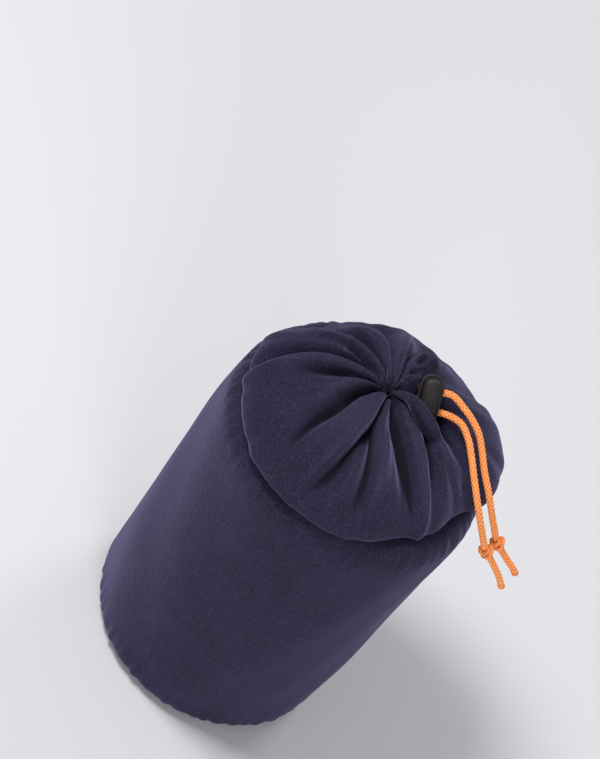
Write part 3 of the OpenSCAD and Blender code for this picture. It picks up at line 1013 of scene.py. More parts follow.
    def nested(self, places: np.ndarray, lock: LockPose) -> np.ndarray:
        """Presses the cloth in round the lock, along the lock's own upright.

        The lock's outline, with its way along the cord, is a rounded box. Inside it the cloth stays below the
        lock, and at its edge the cloth rises steeply. Past the lock the cloth stays under the two strands.

        Args:
            places: Points above the rim's plane.
            lock: The lock's place.

        Returns:
            The points, moved down where they would be in the way.
        """
        own = lock.to_own(places)
        x, y, z = own[..., 0], own[..., 1], own[..., 2]
        outside = lock.outside(own)
        bank = lock.bottom - self.nest_floor + self.nest_rise * ease(0.0, self.nest_wall, outside)
        past = ease(3.0, 6.0, x) * (1.0 - ease(16.0, 26.0, x)) * (1.0 - ease(5.8, 9.0, np.abs(y)))
        limit = np.minimum(bank, self.strand_cap - past * self.strand_drop)
        limit = limit + self.free_rise * ease(9.0, 14.0, outside)
        return places - np.maximum(z - limit, 0.0)[..., None] * lock.axes[:, 2]

    def hooded(self, places: np.ndarray, lift: np.ndarray, lock: LockPose) -> np.ndarray:
        """Raises the fold that the strands leave the mouth by, as far as the lock's entry.

        The fold is a ridge over the two strands, highest between them, that ends in a steep edge at the lock.
        It joins the rest by a soft maximum, half of (a + b + root of ((a - b)^2 + width^2)).

        Args:
            places: Points above the rim's plane.
            lift: Pleats' lift at each point, which shows a little on the fold too.
            lock: The lock's place.

        Returns:
            The raised points.
        """
        x, y, z = places[..., 0], places[..., 1], places[..., 2]
        axis = lock.axes
        level = lock.at[2] - (axis[0, 2] * (x - lock.at[0]) + axis[1, 2] * (y - lock.at[1])) / axis[2, 2]
        own = lock.to_own(np.stack([x, y, level], axis=-1))
        along, across = own[..., 0], own[..., 1]
        middle = lock.half_pitch * ease(-13.0, -7.5, along)
        rounded = self.hood_round * (across - middle) ** 2
        run_out = self.hood_run_out * np.maximum(-8.0 - along, 0.0) ** 2
        crest = self.hood_lift - rounded - run_out + 0.12 * lift
        fold = level + crest - self.hood_steep * np.maximum(along + lock.end_radius, 0.0)
        raised = 0.5 * (z + fold + np.sqrt((z - fold) ** 2 + self.hood_blend**2)) - 0.2
        return np.stack([x, y, np.where(fold > z - 6.0, np.maximum(raised, z), z)], axis=-1)

    def pleats(self, section: np.ndarray, angle: np.ndarray, below: np.ndarray) -> np.ndarray:
        """Lift of the pleats, softened round each ring, and faded at the rim seam and down the throat.

        Args:
            section: Radius and height of each row.
            angle: Direction of each column in radians.
            below: How far each row is down the throat, 0 to 1.

        Returns:
            Lift in millimetres, rows by columns.
        """
        radius, level = section[:, 0], section[:, 1]
        lift = self.lifts(np.maximum(radius, 4.0), angle)
        soft = 0.3 + 0.3 * ease(5.0, 20.0, radius) + 0.8 * ease(20.0, 45.0, radius)
        lift = blurred_round(lift, soft / np.maximum(radius, 3.0))
        lift *= (1.0 - 0.8 * below)[:, None] * (0.55 + 0.45 * ease(2.0, 9.0, radius))[:, None]
        return lift * ease(0.6, 3.5, level)[:, None]

    def shading(self, folds: np.ndarray, radius: np.ndarray) -> np.ndarray:
        """Painted highlight (up to 1) where a point stands out of the folds around it, and painted shade
        (down to -1) where it lies in a hollow.

        The folds are compared with their own blur round the ring, and the drawn mouth gets painted shade as
        well.

        Args:
            folds: Lift of pleats and strokes, rows by columns.
            radius: Distance of each row from the middle.

        Returns:
            The painted highlight and shade of each point.
        """
        around = blurred_round(folds, self.shade_reach / np.maximum(radius, 4.0))
        stands_out = ease(0.3, 3.0, folds - around)
        lies_in = ease(0.5, 3.2, around - folds)
        drawn_in = (1.0 - ease(2.0, 7.0, radius))[:, None]
        return np.maximum(stands_out - lies_in - self.mouth_shade * drawn_in, -1.0)

    def slumped(self, section: np.ndarray, angle: np.ndarray) -> tuple[np.ndarray, np.ndarray]:
        """Shares of the radius and of the height that the slumps take away near the rim.

        Args:
            section: Radius and height of each row.
            angle: Direction of each column in radians.

        Returns:
            The two shares, rows by columns.
        """
        share = ease(28.0, 54.0, section[:, 0])[:, None] * ease(0.0, 7.0, run_along(section))[:, None]
        thinner = sum(s.radius_share * s.spread_over(angle) for s in self.SLUMPS)[None, :]
        lower = sum(s.height_share * s.spread_over(angle) for s in self.SLUMPS)[None, :]
        return share * thinner, share * lower

    def outer(self, lock: LockPose) -> tuple[np.ndarray, np.ndarray]:
        """Outer face of the gathered top.

        Each point lies on the section, slumped near the rim, moved along the section's normal by the pleats'
        lift, the strokes and the slack. Inner rows are centred on the mouth. Then the cloth is hooded over
        the strands and nested round the lock.

        Args:
            lock: The lock's place.

        Returns:
            Grid of points above the rim's plane, and their painted highlight and shade.
        """
        section = self.profile()
        angle = directions(self.columns)
        radius, level = section[:, 0], section[:, 1]
        out = across_section(section)
        narrow = int(np.argmin(radius))
        below = np.clip(np.arange(self.rows) - narrow, 0, self.throat_rows) / self.throat_rows
        lift = self.pleats(section, angle, below)
        slack = ripples(angle[None, :], radius[:, None], self.SLACK) * ease(8.0, 25.0, radius)[:, None]
        toward = (1.0 - ease(3.0, 30.0, radius))[:, None]
        mouth, throat = np.array(self.mouth), np.array(self.throat)
        plan = turned(radius[:, None], angle, 0.0)[..., :2] + (toward * mouth)[:, None, :]
        drawn = sum(stroke.raised(plan[..., 0], plan[..., 1]) for stroke in self.STROKES)
        shift = lift + drawn * (1.0 - below)[:, None] + slack * ease(0.4, 2.5, level)[:, None]
        thinner, lower = self.slumped(section, angle)
        r = np.maximum(radius[:, None] * (1.0 - thinner) + shift * out[:, :1], self.least_radius)
        z = level[:, None] * (1.0 - lower) + shift * out[:, 1:]
        middle = toward * (mouth + ease(0.0, 1.0, below)[:, None] * (throat - mouth))
        places = turned(r, angle, z)
        places[..., :2] += middle[:, None, :]
        shown = (np.arange(self.rows) <= narrow)[:, None, None]
        moved = self.nested(self.hooded(places, lift, lock), lock)
        return np.where(shown, moved, places), self.shading(lift + drawn, radius)

    def surface(self, lock: LockPose) -> Surface:
        """The whole top as a closed shell, with the fold that rolls over the lock.

        The inner face lies a cloth's thickness under the outer one, along the normal. Round the lock, where
        the cloth is steep, it lies under it along the lock's own upright.

        Args:
            lock: The lock's place.

        Returns:
            The surface, in millimetres from the middle of the base.
        """
        face, hollow = self.outer(lock)
        normal = grid_normals(face)
        up = np.sign(normal[self.rows // 2, :, 2].mean())
        near = (1.0 - ease(1.0, 3.0, lock.outside(lock.to_own(face))))[..., None]
        near[np.arange(self.rows) > np.argmin(self.profile()[:, 0])] = 0.0
        under = (1.0 - near) * up * normal + near * lock.axes[:, 2]
        under /= np.maximum(np.linalg.norm(under, axis=-1, keepdims=True), 0.3)
        inner = (face - self.cloth * under)[::-1][:: self.inner_step]
        # Painted highlight and shade on the outer face only.
        tone = np.concatenate([hollow, np.zeros(inner.shape[:2])])
        shell = Surface.closed(np.concatenate([face, inner]) + RIM, tone)
        return Surface.joined([shell, RolledFold().surface(lock)])


@dataclass
class PaddedWall:
    """The padded fleece wall: a soft roll under the rim seam, a slight taper, and a soft edge at the base."""

    top_radius: float = 57.3
    base_radius: float = 54.0
    roll_wide: float = 7.9
    roll_high: float = 13.0
    tuck_radius: float = 46.5
    edge: float = 8.0
    cloth: float = 1.8
    columns: int = 480
    rows: int = 150
    inner_step: int = 4
    bulge: float = 1.2
    seam_at: float = 90.0
    seam_wide: float = 1.3
    seam_deep: float = 1.0
    bank_at: float = 3.2
    bank_wide: float = 1.8
    edge_seam: float = 5.0
    edge_reach: float = 7.0
    rim_seam: float = 6.0
    rim_reach: float = 5.0

    SLACK = (
        (0.45, 3, 0.03, 0.7),
        (0.42, 5, -0.045, 2.9),
        (0.28, 8, 0.07, 4.4),
        (0.16, 13, -0.09, 1.9),
    )
    PUCKERS = (
        (0.20, 38, 0.0, 0.3),
        (0.16, 53, 0.05, 2.2),
        (0.12, 71, -0.04, 4.1),
    )

    def profile(self) -> np.ndarray:
        """Section of the wall from its tuck under the base, up the side and over the roll to the rim seam.

        Returns:
            Radius and height above the floor, one pair per row, evenly spaced.
        """
        lean = np.radians(np.linspace(-90.0, 0.0, 9))
        low_radius = self.base_radius - self.edge + self.edge * np.cos(lean)
        low = np.stack([low_radius, self.edge * (1.0 + np.sin(lean))], axis=-1)
        share = np.linspace(0.0, 1.0, 14)[1:-1]
        top = RIM_Z - self.roll_high
        radius = self.base_radius + (self.top_radius - self.base_radius) * share
        radius = radius + self.bulge * np.sin(math.pi * share) ** 0.8
        side = np.stack([radius, self.edge + (top - self.edge) * share], axis=-1)
        lean = np.radians(np.linspace(0.0, 90.0, 10))
        roll_radius = self.top_radius - self.roll_wide * (1 - np.cos(lean))
        roll = np.stack([roll_radius, top + self.roll_high * np.sin(lean)], axis=-1)
        tuck = np.array([[self.tuck_radius, RIM_Z]])
        knots = np.concatenate([low, side, roll, tuck])
        length = run_along(knots)
        return through(length, knots, np.linspace(0.0, length[-1], self.rows))

    def surface(self) -> Surface:
        """The wall as a closed shell of fleece.

        Each point lies on the section, moved outwards by the slack of the cloth, by small puckers that fade
        away from the two seams, and by the groove of the closing seam at the back.

        Returns:
            The surface.
        """
        section = self.profile()
        angle = directions(self.columns)
        radius, level = section[:, 0], section[:, 1]
        out = across_section(section)
        free = ease(0.0, 14.0, level) * (1.0 - ease(RIM_Z - 5.0, RIM_Z - 0.2, level))
        shift = ripples(angle[None, :], level[:, None], self.SLACK) * free[:, None]
        edge = np.exp(-(((level - self.edge_seam) / self.edge_reach) ** 2)) * ease(0.2, 3.0, level)
        rim = np.exp(-(((level - RIM_Z + self.rim_seam) / self.rim_reach) ** 2))
        rim = rim * (1.0 - ease(RIM_Z - 1.0, RIM_Z, level))
        shift = shift + ripples(angle[None, :], level[:, None], self.PUCKERS) * (edge + rim)[:, None]
        across = np.radians((np.degrees(angle) - self.seam_at + 180.0) % 360.0 - 180.0) * self.top_radius
        banks = np.exp(-(((np.abs(across) - self.bank_at) / self.bank_wide) ** 2))
        groove = np.exp(-((across / self.seam_wide) ** 2)) - 0.5 * banks
        standing = ease(1.0, 10.0, level) * (1.0 - ease(RIM_Z - 2.0, RIM_Z, level))
        shift = shift - self.seam_deep * groove[None, :] * standing[:, None]
        r = radius[:, None] + shift * out[:, :1]
        z = level[:, None] + shift * out[:, 1:]
        face = turned(r, angle, z)
        inner = turned(r - self.cloth * out[:, :1], angle, z - self.cloth * out[:, 1:])
        return Surface.closed(np.concatenate([face, inner[::-1][:: self.inner_step]]))


@dataclass
class TurnedLayer:
    """A round layer of the pouch: a closed section turned about the axis, with a little slack."""

    section: Sequence[tuple[float, float]]
    slack: float = 0.15
    slack_turns: float = 7.0
    slack_climb: float = 0.05
    columns: int = 160
    steps: int = 90

    def surface(self) -> Surface:
        """The section, walked at even steps, turned about the axis; its slack is a slanted wave.

        Returns:
            The surface, with the way round and the way along the section as cloth coordinates in millimetres.
        """
        knots = np.array([*self.section, self.section[0]], float)
        length = run_along(knots)
        along = np.linspace(0.0, length[-1], self.steps, endpoint=False)
        path = np.stack([np.interp(along, length, knots[:, k]) for k in range(2)], axis=-1)
        angle = directions(self.columns)
        wave = self.slack * np.cos(self.slack_turns * angle[None, :] + self.slack_climb * path[:, 1:])
        wave = wave * ease(2.0, 12.0, path[:, 0])[:, None]
        grid = turned(path[:, :1] + wave, angle, path[:, 1:])
        uv = np.stack(np.broadcast_arrays(angle[None, :] * path[:, :1].max(), along[:, None]), axis=-1)
        return Surface.closed(grid, None, uv)


@dataclass
class Disc:
    """A round layer of the base: a flat disc with a softly rounded edge."""

    radius: float
    low: float
    high: float
    edge: float
    columns: int = 144
    rows: int = 40

    def surface(self) -> Surface:
        """Rings from the middle of the underside over the rounded edge to the middle of the top side.

        Returns:
            The surface, with its plan as cloth coordinates in millimetres.
        """
        half = 0.5 * (self.high - self.low)
        lean = np.linspace(-0.5 * math.pi, 0.5 * math.pi, 9)
        rim_radius = self.radius - self.edge * (1 - np.cos(lean))
        rim = np.stack([rim_radius, self.low + half + half * np.sin(lean)], axis=-1)
        spread = np.linspace(0.02, 1.0, (self.rows - 9) // 2, endpoint=False) * (self.radius - self.edge)
        under = np.stack([spread, np.full_like(spread, self.low)], axis=-1)
        over = np.stack([spread[::-1], np.full_like(spread, self.high)], axis=-1)
        path = np.concatenate([under, rim, over])
        grid = turned(path[:, :1], directions(self.columns), path[:, 1:])
        return Surface.capped(grid, None, grid[..., :2])


@dataclass
class DividerPad:
    """The padded divider: an upright panel that is fullest in the middle and thin along its sewn edges."""

    half_width_low: float = 43.0
    half_width_high: float = 44.8
    low: float = 10.1
    high: float = 125.1
    middle_y: float = -12.0
    half_thick: float = 2.0
    edge_share: float = 0.35
    end_power: float = 0.35
    side_power: float = 0.6
    face_power: float = 0.45
    columns: int = 96
    rows: int = 40

    def surface(self) -> Surface:
        """Rings of a flattened tube from the bottom edge to the top edge; thickness falls off to the edges.

        Returns:
            The surface, with its plan as cloth coordinates in millimetres.
        """
        up = np.linspace(0.0, 1.0, self.rows)
        angle = directions(self.columns)
        wide = self.half_width_low + (self.half_width_high - self.half_width_low) * up
        x = wide[:, None] * np.sign(np.cos(angle)) * np.abs(np.cos(angle)) ** self.side_power
        middle = np.sin(math.pi * np.clip(up, 0.02, 0.98)) ** self.end_power
        full = self.edge_share + (1.0 - self.edge_share) * middle
        bulge = np.sign(np.sin(angle)) * np.abs(np.sin(angle)) ** self.face_power
        y = self.middle_y + self.half_thick * full[:, None] * bulge
        z = np.broadcast_to((self.low + (self.high - self.low) * up)[:, None], x.shape)
        return Surface.capped(np.stack([x, y, z], axis=-1), None, np.stack([x, z], axis=-1))


@dataclass
class BraidedCord:
    """A braided cord of two families of yarns that pass over and under each other round a core.

    The yarns' thickness, breadth, reach and wave, and the core's radius, are shares of the cord's radius.
    """

    route: np.ndarray
    radius: float = 1.5
    yarns: int = 4
    lay: float = 8.0
    sides: int = 8
    tube_sides: int = 10
    step: float = 0.22
    yarn_thick: float = 0.2
    yarn_broad: float = 0.34
    yarn_reach: float = 0.67
    yarn_wave: float = 0.12
    core: float = 0.72
    reference: Place = ACROSS_CORD
    shut_start: bool = False
    shut_end: bool = True

    def path(self) -> np.ndarray:
        """The route as a smooth line of points, evenly spaced by the step, in millimetres."""
        length = run_along(self.route)
        fine = through(length, self.route, np.linspace(0.0, length[-1], 4000))
        along = run_along(fine)
        count = max(8, int(along[-1] / self.step))
        at = np.linspace(0.0, along[-1], count)
        return np.stack([np.interp(at, along, fine[:, k]) for k in range(3)], axis=-1)

    def frames(self, path: np.ndarray) -> tuple[np.ndarray, np.ndarray, np.ndarray]:
        """Direction of the path and two directions across it, at each point."""
        ahead = unit(np.gradient(path, axis=0))
        across = unit(np.cross(ahead, np.array(self.reference)))
        return ahead, across, np.cross(ahead, across)

    def yarn(self, path: np.ndarray, hand: float, number: int) -> Surface:
        """One yarn of the braid.

        The yarn's middle runs on a helix of the braid's radius, which it leaves by a small cosine, out at one
        crossing and in at the next. Its section is an ellipse that lies flat on the cord.

        Args:
            path: The cord's middle line.
            hand: 1 for the yarns that turn one way, -1 for the others.
            number: Place of the yarn in its family.

        Returns:
            The yarn, with the way round it and along it as cloth coordinates, and a value per point for
            painted shade.
        """
        _, across, beside = self.frames(path)
        travel = np.arange(len(path)) * self.step
        turn = hand * TURN * travel / self.lay + TURN * number / self.yarns
        weave = hand * np.cos(math.pi * 2.0 * self.yarns * travel / self.lay)
        reach = self.radius * self.yarn_reach + self.yarn_wave * self.radius * weave
        outward = np.cos(turn)[:, None] * across + np.sin(turn)[:, None] * beside
        middle = path + reach[:, None] * outward
        sideways = unit(np.cross(unit(np.gradient(middle, axis=0)), outward))
        around = directions(self.sides)
        broad, thick = self.yarn_broad * self.radius, self.yarn_thick * self.radius
        ring = broad * np.cos(around)[None, :, None] * sideways[:, None, :]
        ring = ring + thick * np.sin(around)[None, :, None] * outward[:, None, :]
        # Painted shade value: low where the yarn dips under the other family and on its underside.
        height = (0.5 + 0.5 * weave)[:, None] * (0.6 + 0.4 * np.sin(around))
        round_it = (around / TURN)[None, :] + 0.37 * number + hand
        uv = np.stack(np.broadcast_arrays(round_it, travel[:, None] * 0.8), axis=-1)
        return Surface.capped(middle[:, None, :] + ring, height, uv)

    def tube(self, path: np.ndarray, radii: np.ndarray, tone: float) -> Surface:
        """A plain tube of the given radii along a path, for the core and the sealed ends, with one level of
        painted shade.
        """
        _, across, beside = self.frames(path)
        angle = directions(self.tube_sides)
        ring = np.cos(angle)[None, :, None] * across[:, None, :]
        ring = ring + np.sin(angle)[None, :, None] * beside[:, None, :]
        grid = path[:, None, :] + radii[:, None, None] * ring
        along = np.linspace(0, 1, len(path))[:, None]
        uv = np.stack(np.broadcast_arrays(angle[None, :] / TURN, along), axis=-1)
        return Surface.capped(grid, np.full(grid.shape[:2], tone), uv)

    def sealed_end(self, path: np.ndarray) -> Surface:
        """The melted tip: a short rounded stub over the last millimetre of the path, with some painted shade.
        """
        tip, ahead = path[-1], unit(path[-1] - path[-2])
        along = np.linspace(-1.4, 0.9, 10)
        past = np.clip((along + 0.1) / 1.02, 0, 1)
        radii = self.radius * 1.02 * np.sqrt(np.clip(1.0 - past**2, 0.02, 1.0))
        return self.tube(tip + along[:, None] * ahead, radii, 0.35)

    def surface(self) -> Surface:
        """Every yarn of both families, the core inside them, and the sealed ends."""
        path = self.path()
        parts = [self.yarn(path, hand, k) for hand in (1.0, -1.0) for k in range(self.yarns)]
        coarse = path[::4]
        # The core shows between the yarns in the full painted shade colour.
        parts.append(self.tube(coarse, np.full(len(coarse), self.core * self.radius), 0.0))
        if self.shut_end:
            parts.append(self.sealed_end(path))
        if self.shut_start:
            parts.append(self.sealed_end(path[::-1]))
        return Surface.joined(parts)


class Side(Enum):
    """The two strands of the drawcord: the hole of the lock that each runs through, and its word in names."""

    FRONT = (-1.0, "front")
    BACK = (1.0, "back")

    @property
    def across(self) -> float:
        """Sign of the strand's place across the lock."""
        return self.value[0]

    @property
    def word(self) -> str:
        """The strand's word in names."""
        return self.value[1]


@dataclass(frozen=True)
class StrandRoute:
    """Stops of a strand above the rim's middle: out of the casing, over the top, its knot and its tail."""

    rise: tuple[Place, ...]
    drape: tuple[Place, ...]
    knot: Place
    tail: tuple[Place, ...]

    @property
    def lie(self) -> np.ndarray:
        """Direction of the strand in its knot, halfway between its ways in and out."""
        knot = np.array(self.knot)
        way_in, way_out = knot - np.array(self.drape[-1]), np.array(self.tail[0]) - knot
        return unit(unit(way_in) + unit(way_out))


@dataclass(frozen=True)
class MouthLoop:
    """The arc of the cord in the casing round the mouth: millimetres above the rim's plane, and degrees."""

    radius: float = 8.2
    level: float = 9.4
    start: float = 92.0
    sweep: float = 216.0


@dataclass
class Drawcord:
    """The drawcord: its loop in the casing, the two strands through the lock, and the knot near each end."""

    ROUTES = {
        Side.FRONT: StrandRoute(
            rise=(
                (6.4, -5, 9.4), (6.2, -2.6, 10.4), (4.2, -1.6, 13), (2.6, -1.4, 17), (2.6, -0.6, 21),
                (3.8, 1.2, 23.8),
            ),
            drape=(
                (27.2, 8.2, 29.8), (32.4, 6.2, 28), (38, 2.4, 24.9), (44.5, -2.4, 20.6), (50.5, -6.5, 16.5),
                (55.5, -7.4, 10.8), (60, -6.9, 4.5), (64, -4.9, -2.5),
            ),
            knot=(67.4, -1.5, -9.2),
            tail=((75.2, 1.8, -18), (79, 2.8, -22), (82.6, 3, -26)),
        ),
        Side.BACK: StrandRoute(
            rise=(
                (1.6, 8, 9.4), (3.6, 6, 10.4), (2.7, 3.2, 13), (1.6, 2.2, 17), (1, 2.6, 22), (0.3, 4.8, 26),
                (0.9, 7.6, 29),
            ),
            drape=(
                (24.4, 12.6, 33.2), (29.6, 12.6, 30.9), (35, 11.4, 28.2), (40.5, 8.6, 24.2), (46, 5, 20),
                (51.6, 2, 16.2), (56.9, 1.4, 10), (61.4, 2.2, 3.4), (65.4, 3.7, -3),
            ),
            knot=(69.4, 5.6, -9),
            tail=((77.5, 8.4, -17), (81, 10, -20.4), (84, 11.2, -23.6)),
        ),
    }
    STOPS = (-7.0, -4.5, 0.0, 5.0, 8.4)

    diameter: float = 3.0
    arc: MouthLoop = MouthLoop()
    overrun: float = 4.0
    knot_turns: float = 1.5
    knot_half: float = 3.5
    knot_cord: float = 0.72

    def strand(self, lock: LockPose, side: Side) -> BraidedCord:
        """A free strand from the casing through the lock and over the rim to its cut tail.

        Args:
            lock: The lock's place.
            side: Which of the two strands.

        Returns:
            The cord on its route.
        """
        route = self.ROUTES[side]
        straight = lock.to_rim(np.array([[x, side.across * lock.half_pitch, 0.0] for x in self.STOPS]))
        tied = np.array(route.knot) + np.array([[-self.knot_half], [0.0], [self.knot_half]]) * route.lie
        stops = np.concatenate([route.rise, straight, route.drape, tied, route.tail])
        return BraidedCord(stops + RIM, 0.5 * self.diameter)

    def loop(self) -> BraidedCord:
        """The part of the cord inside the casing, an arc that runs out of it a little at both ends."""
        sweep = np.linspace(0.0, self.arc.sweep + 2.0 * self.overrun, 40)
        angle = np.radians(self.arc.start - self.overrun + sweep)
        route = turned(self.arc.radius, angle, RIM_Z + self.arc.level)
        return BraidedCord(route, 0.5 * self.diameter, reference=(0.0, 0.0, 1.0), shut_end=False)

    def knot(self, side: Side) -> BraidedCord:
        """The knot of a strand: turns drawn tight round it, fuller in the middle, whose ends slip back under.

        Args:
            side: Which of the two strands.

        Returns:
            The turns as a cord of their own.
        """
        route = self.ROUTES[side]
        lie = route.lie
        first = unit(np.cross(lie, np.array(ACROSS_CORD)))
        second = np.cross(lie, first)
        cord = 0.5 * self.diameter * self.knot_cord
        share = np.linspace(0.0, 1.0, 70)
        angle = TURN * self.knot_turns * share
        drawn = ease(0.0, 0.2, share) * (1.0 - ease(0.8, 1.0, share))
        out = 0.5 * self.diameter + 0.55 * cord * drawn + 0.1
        climb = 3.6 * (share - 0.5) + 0.9 * np.sin(2.0 * angle) * np.sin(math.pi * share)
        ring = np.cos(angle)[:, None] * first + np.sin(angle)[:, None] * second
        place = np.array(route.knot) + out[:, None] * ring + climb[:, None] * lie
        return BraidedCord(place + RIM, cord, reference=tuple(lie), shut_start=True)


@dataclass
class HemCasing:
    """The hem's casing: a cloth tube round the cord's loop, puckered where the mouth is gathered."""

    arc: MouthLoop = MouthLoop()
    inner: float = 1.8
    outer: float = 3.0
    pucker: float = 0.35
    puckers: int = 17
    rows: int = 140
    columns: int = 28

    def surface(self) -> Surface:
        """Rings along the arc, outside and then back inside; the outer radius ripples with the gathers."""
        share = np.linspace(0.0, 1.0, self.rows)
        way = np.radians(self.arc.start + self.arc.sweep * share)
        ripple = self.outer - self.pucker * (0.5 + 0.5 * np.cos(TURN * self.puckers * share))
        radii = np.concatenate([ripple, np.full(self.rows, self.inner)])
        way = np.concatenate([way, way[::-1]])
        angle = directions(self.columns)
        r = self.arc.radius + radii[:, None] * np.cos(angle)
        z = RIM_Z + self.arc.level + radii[:, None] * np.sin(angle)
        return Surface.closed(turned(r, way[:, None], z))


@dataclass(frozen=True)
class Lamp:
    """A square soft lamp that points at the pouch: its place and side in metres, and its power in watts."""

    name: str
    place: Place
    side: float
    watts: float

    def hang(self, aim: Place) -> None:
        """Adds the lamp to the scene, pointing at a place in metres."""
        data = bpy.data.lights.new(self.name, "AREA")
        data.size = self.side
        data.energy = self.watts
        lamp = bpy.data.objects.new(self.name, data)
        lamp.location = self.place
        lamp.rotation_mode = "QUATERNION"
        lamp.rotation_quaternion = (Vector(aim) - Vector(self.place)).to_track_quat("-Z", "Y")
        bpy.context.scene.collection.objects.link(lamp)


@dataclass
class Studio:
    """Floor, lights and camera. The camera looks down on the pouch and leans over to one side."""

    LAMPS = (
        Lamp("key_lamp", (-0.6, -0.1, 1.25), 0.35, 13.0),
        Lamp("fill_lamp", (0.6, -1.25, 0.4), 0.6, 11.0),
        Lamp("back_lamp", (0.3, 1.1, 1.1), 0.5, 5.0),
    )

    elevation: float = 48.0
    lean_cos: float = 0.788
    lean_sin: float = 0.616
    target: Place = (-33.9, 1.0, 160.0)
    distance: float = 1200.0
    frame_height: float = 303.6
    sensor: float = 36.0
    floor_half: float = 4.0
    floor_colour: Colour = from_screen(218, 218, 221)
    floor_cloud: Colour = from_screen(208, 208, 212)
    lamps_aim: Place = (0.0, 0.0, 0.12)
    sky_colour: Colour = (0.95, 0.97, 1.0, 1.0)
    sky_strength: float = 0.33

    def camera(self) -> None:
        """Sets the camera by its three directions, with a lens that takes in the frame's height."""
        lift = math.radians(self.elevation)
        back = Vector((0.0, -math.cos(lift), math.sin(lift)))
        over = Vector((0.0, math.sin(lift), math.cos(lift)))
        side = Vector((1.0, 0.0, 0.0))
        right = self.lean_cos * side + self.lean_sin * over
        up = self.lean_cos * over - self.lean_sin * side
        place = (Vector(self.target) + back * self.distance) * MM
        data = bpy.data.cameras.new("camera")
        data.sensor_width = self.sensor
        data.lens = self.sensor * self.distance / self.frame_height
        camera = bpy.data.objects.new("camera", data)
        camera.matrix_world = Matrix(
            [
                [right.x, up.x, back.x, place.x],
                [right.y, up.y, back.y, place.y],
                [right.z, up.z, back.z, place.z],
                [0.0, 0.0, 0.0, 1.0],
            ]
        )
        bpy.context.scene.collection.objects.link(camera)
        bpy.context.scene.camera = camera

    def floor(self) -> None:
        """A wide pale floor under the pouch."""
        bench = Bench("studio_floor")
        cloud = bench.noise(bench.place(), 3.0, 3.0)
        shade = bench.blend(cloud * 0.08, self.floor_colour, self.floor_cloud)
        material = bench.finish({"Base Color": shade, "Roughness": 0.8, "Specular IOR Level": 0.2})
        mesh = bpy.data.meshes.new("studio_floor")
        half = self.floor_half
        corners = [(-half, -half, 0), (half, -half, 0), (half, half, 0), (-half, half, 0)]
        mesh.from_pydata(corners, [], [(0, 1, 2, 3)])
        mesh.materials.append(material)
        floor = bpy.data.objects.new("studio_floor", mesh)
        bpy.context.scene.collection.objects.link(floor)

    def light(self) -> None:
        """A key lamp on the left, a low fill on the right, a lamp behind and a pale sky."""
        for lamp in self.LAMPS:
            lamp.hang(self.lamps_aim)
        world = bpy.data.worlds.new("sky")
        world.use_nodes = True
        sky = world.node_tree.nodes["Background"]
        sky.inputs["Color"].default_value = self.sky_colour
        sky.inputs["Strength"].default_value = self.sky_strength
        bpy.context.scene.world = world

    def build(self) -> None:
        """Sets the whole studio, with plain colours in the picture."""
        bpy.context.scene.view_settings.view_transform = "Standard"
        self.camera()
        self.floor()
        self.light()


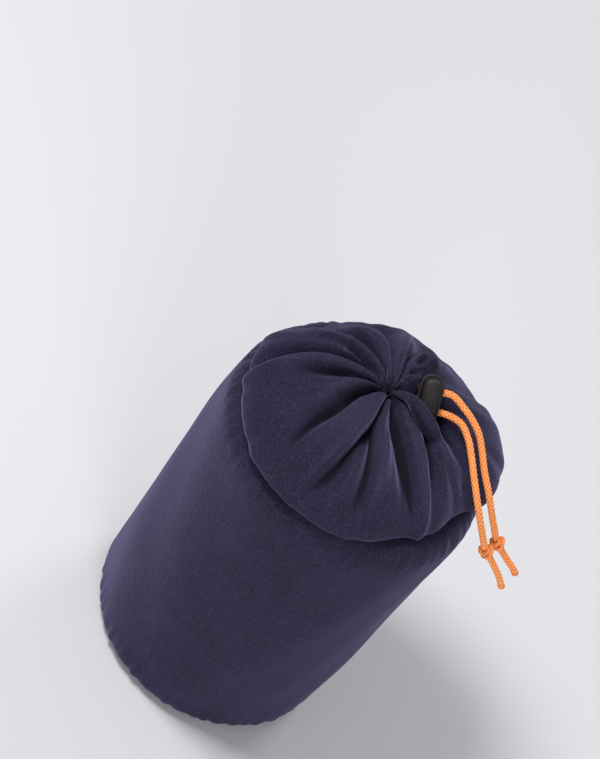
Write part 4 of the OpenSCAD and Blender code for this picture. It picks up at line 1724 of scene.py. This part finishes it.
class Pouch:
    """The whole pouch: every soft piece, and the finishes of the lock's solids."""

    def __init__(self, nodes: Mapping[str, bpy.types.Object]) -> None:
        """Keeps the part's solids and makes the finishes.

        Args:
            nodes: The part's solids by name.
        """
        self.nodes = nodes
        self.wardrobe = Wardrobe()
        self.lock = LockPose()

    def cord(self) -> None:
        """The strands, their knots and the loop."""
        drawcord = Drawcord()
        self.wardrobe.piece(drawcord.loop().surface(), "casing_loop", Finish.CORD, "drawcord_loop")
        for side in Side:
            turns = drawcord.knot(side).surface()
            knot = self.wardrobe.piece(turns, f"{side.word}_knot", Finish.CORD, f"knot_{side.word}")
            cord = drawcord.strand(self.lock, side)
            path = cord.path() * MM
            name = f"{side.word}_strand"
            obj = self.wardrobe.piece(cord.surface(), name, Finish.CORD, f"strand_{side.word}")

    def shell(self) -> None:
        """The gathered top with its hem casing, the padded wall and the base."""
        top = GatheredTop()
        crown = self.wardrobe.piece(top.surface(self.lock), "gathered_crown", Finish.FLEECE, "gathered_top")
        casing = self.wardrobe.piece(HemCasing().surface(), "mouth_casing", Finish.FLEECE, "hem_casing")
        wall = self.wardrobe.piece(PaddedWall().surface(), "padded_wall", Finish.FLEECE, "outer_side_panel")
        disc = Disc(46.0, 0.0, 2.0, 0.8)
        base = self.wardrobe.piece(disc.surface(), "fleece_base", Finish.FLEECE, "outer_base_panel")

    def inside(self) -> None:
        """The foam, the lining and the divider."""
        roll = ((54.5, 147.0), (54.0, 151.0), (52.9, 154.5), (51.0, 157.0), (48.9, 157.4))
        foam = TurnedLayer(((46.2, 8.4), (51.9, 8.4), *roll))
        wall = self.wardrobe.piece(foam.surface(), "wall_foam", Finish.FOAM, "side_foam")
        pad = self.wardrobe.piece(Disc(49.5, 2.3, 8.0, 2.5).surface(), "base_pad", Finish.FOAM, "base_foam")
        lining = TurnedLayer(((44.5, 8.5), (45.8, 8.5), (48.5, 159.7), (47.2, 159.7)), slack=0.08)
        cloth = self.wardrobe.piece(lining.surface(), "wall_lining", Finish.LINING, "lining_side")
        disc = Disc(43.9, 8.4, 9.8, 0.6)
        floor = self.wardrobe.piece(disc.surface(), "base_lining", Finish.LINING, "lining_base")
        divider = self.wardrobe.piece(DividerPad().surface(), "divider_pad", Finish.LINING, "divider")

    def hardware(self) -> None:
        """The finishes of the lock's body, plunger and spring."""
        for name, finish in (
            ("lock_body", Finish.PLASTIC),
            ("lock_plunger", Finish.PLASTIC),
            ("lock_spring", Finish.STEEL),
        ):
            self.wardrobe.dress(self.nodes[name], finish)
            LOG.info("%s keeps its solid", name)


def main() -> None:
    """Builds the studio and the pouch."""
    logging.basicConfig(level=logging.INFO, format="%(name)s: %(message)s")
    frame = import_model()
    Studio().build()
    pouch = Pouch(frame["nodes"])
    pouch.cord()
    pouch.shell()
    pouch.inside()
    pouch.hardware()


if __name__ == "__main__":
    main()
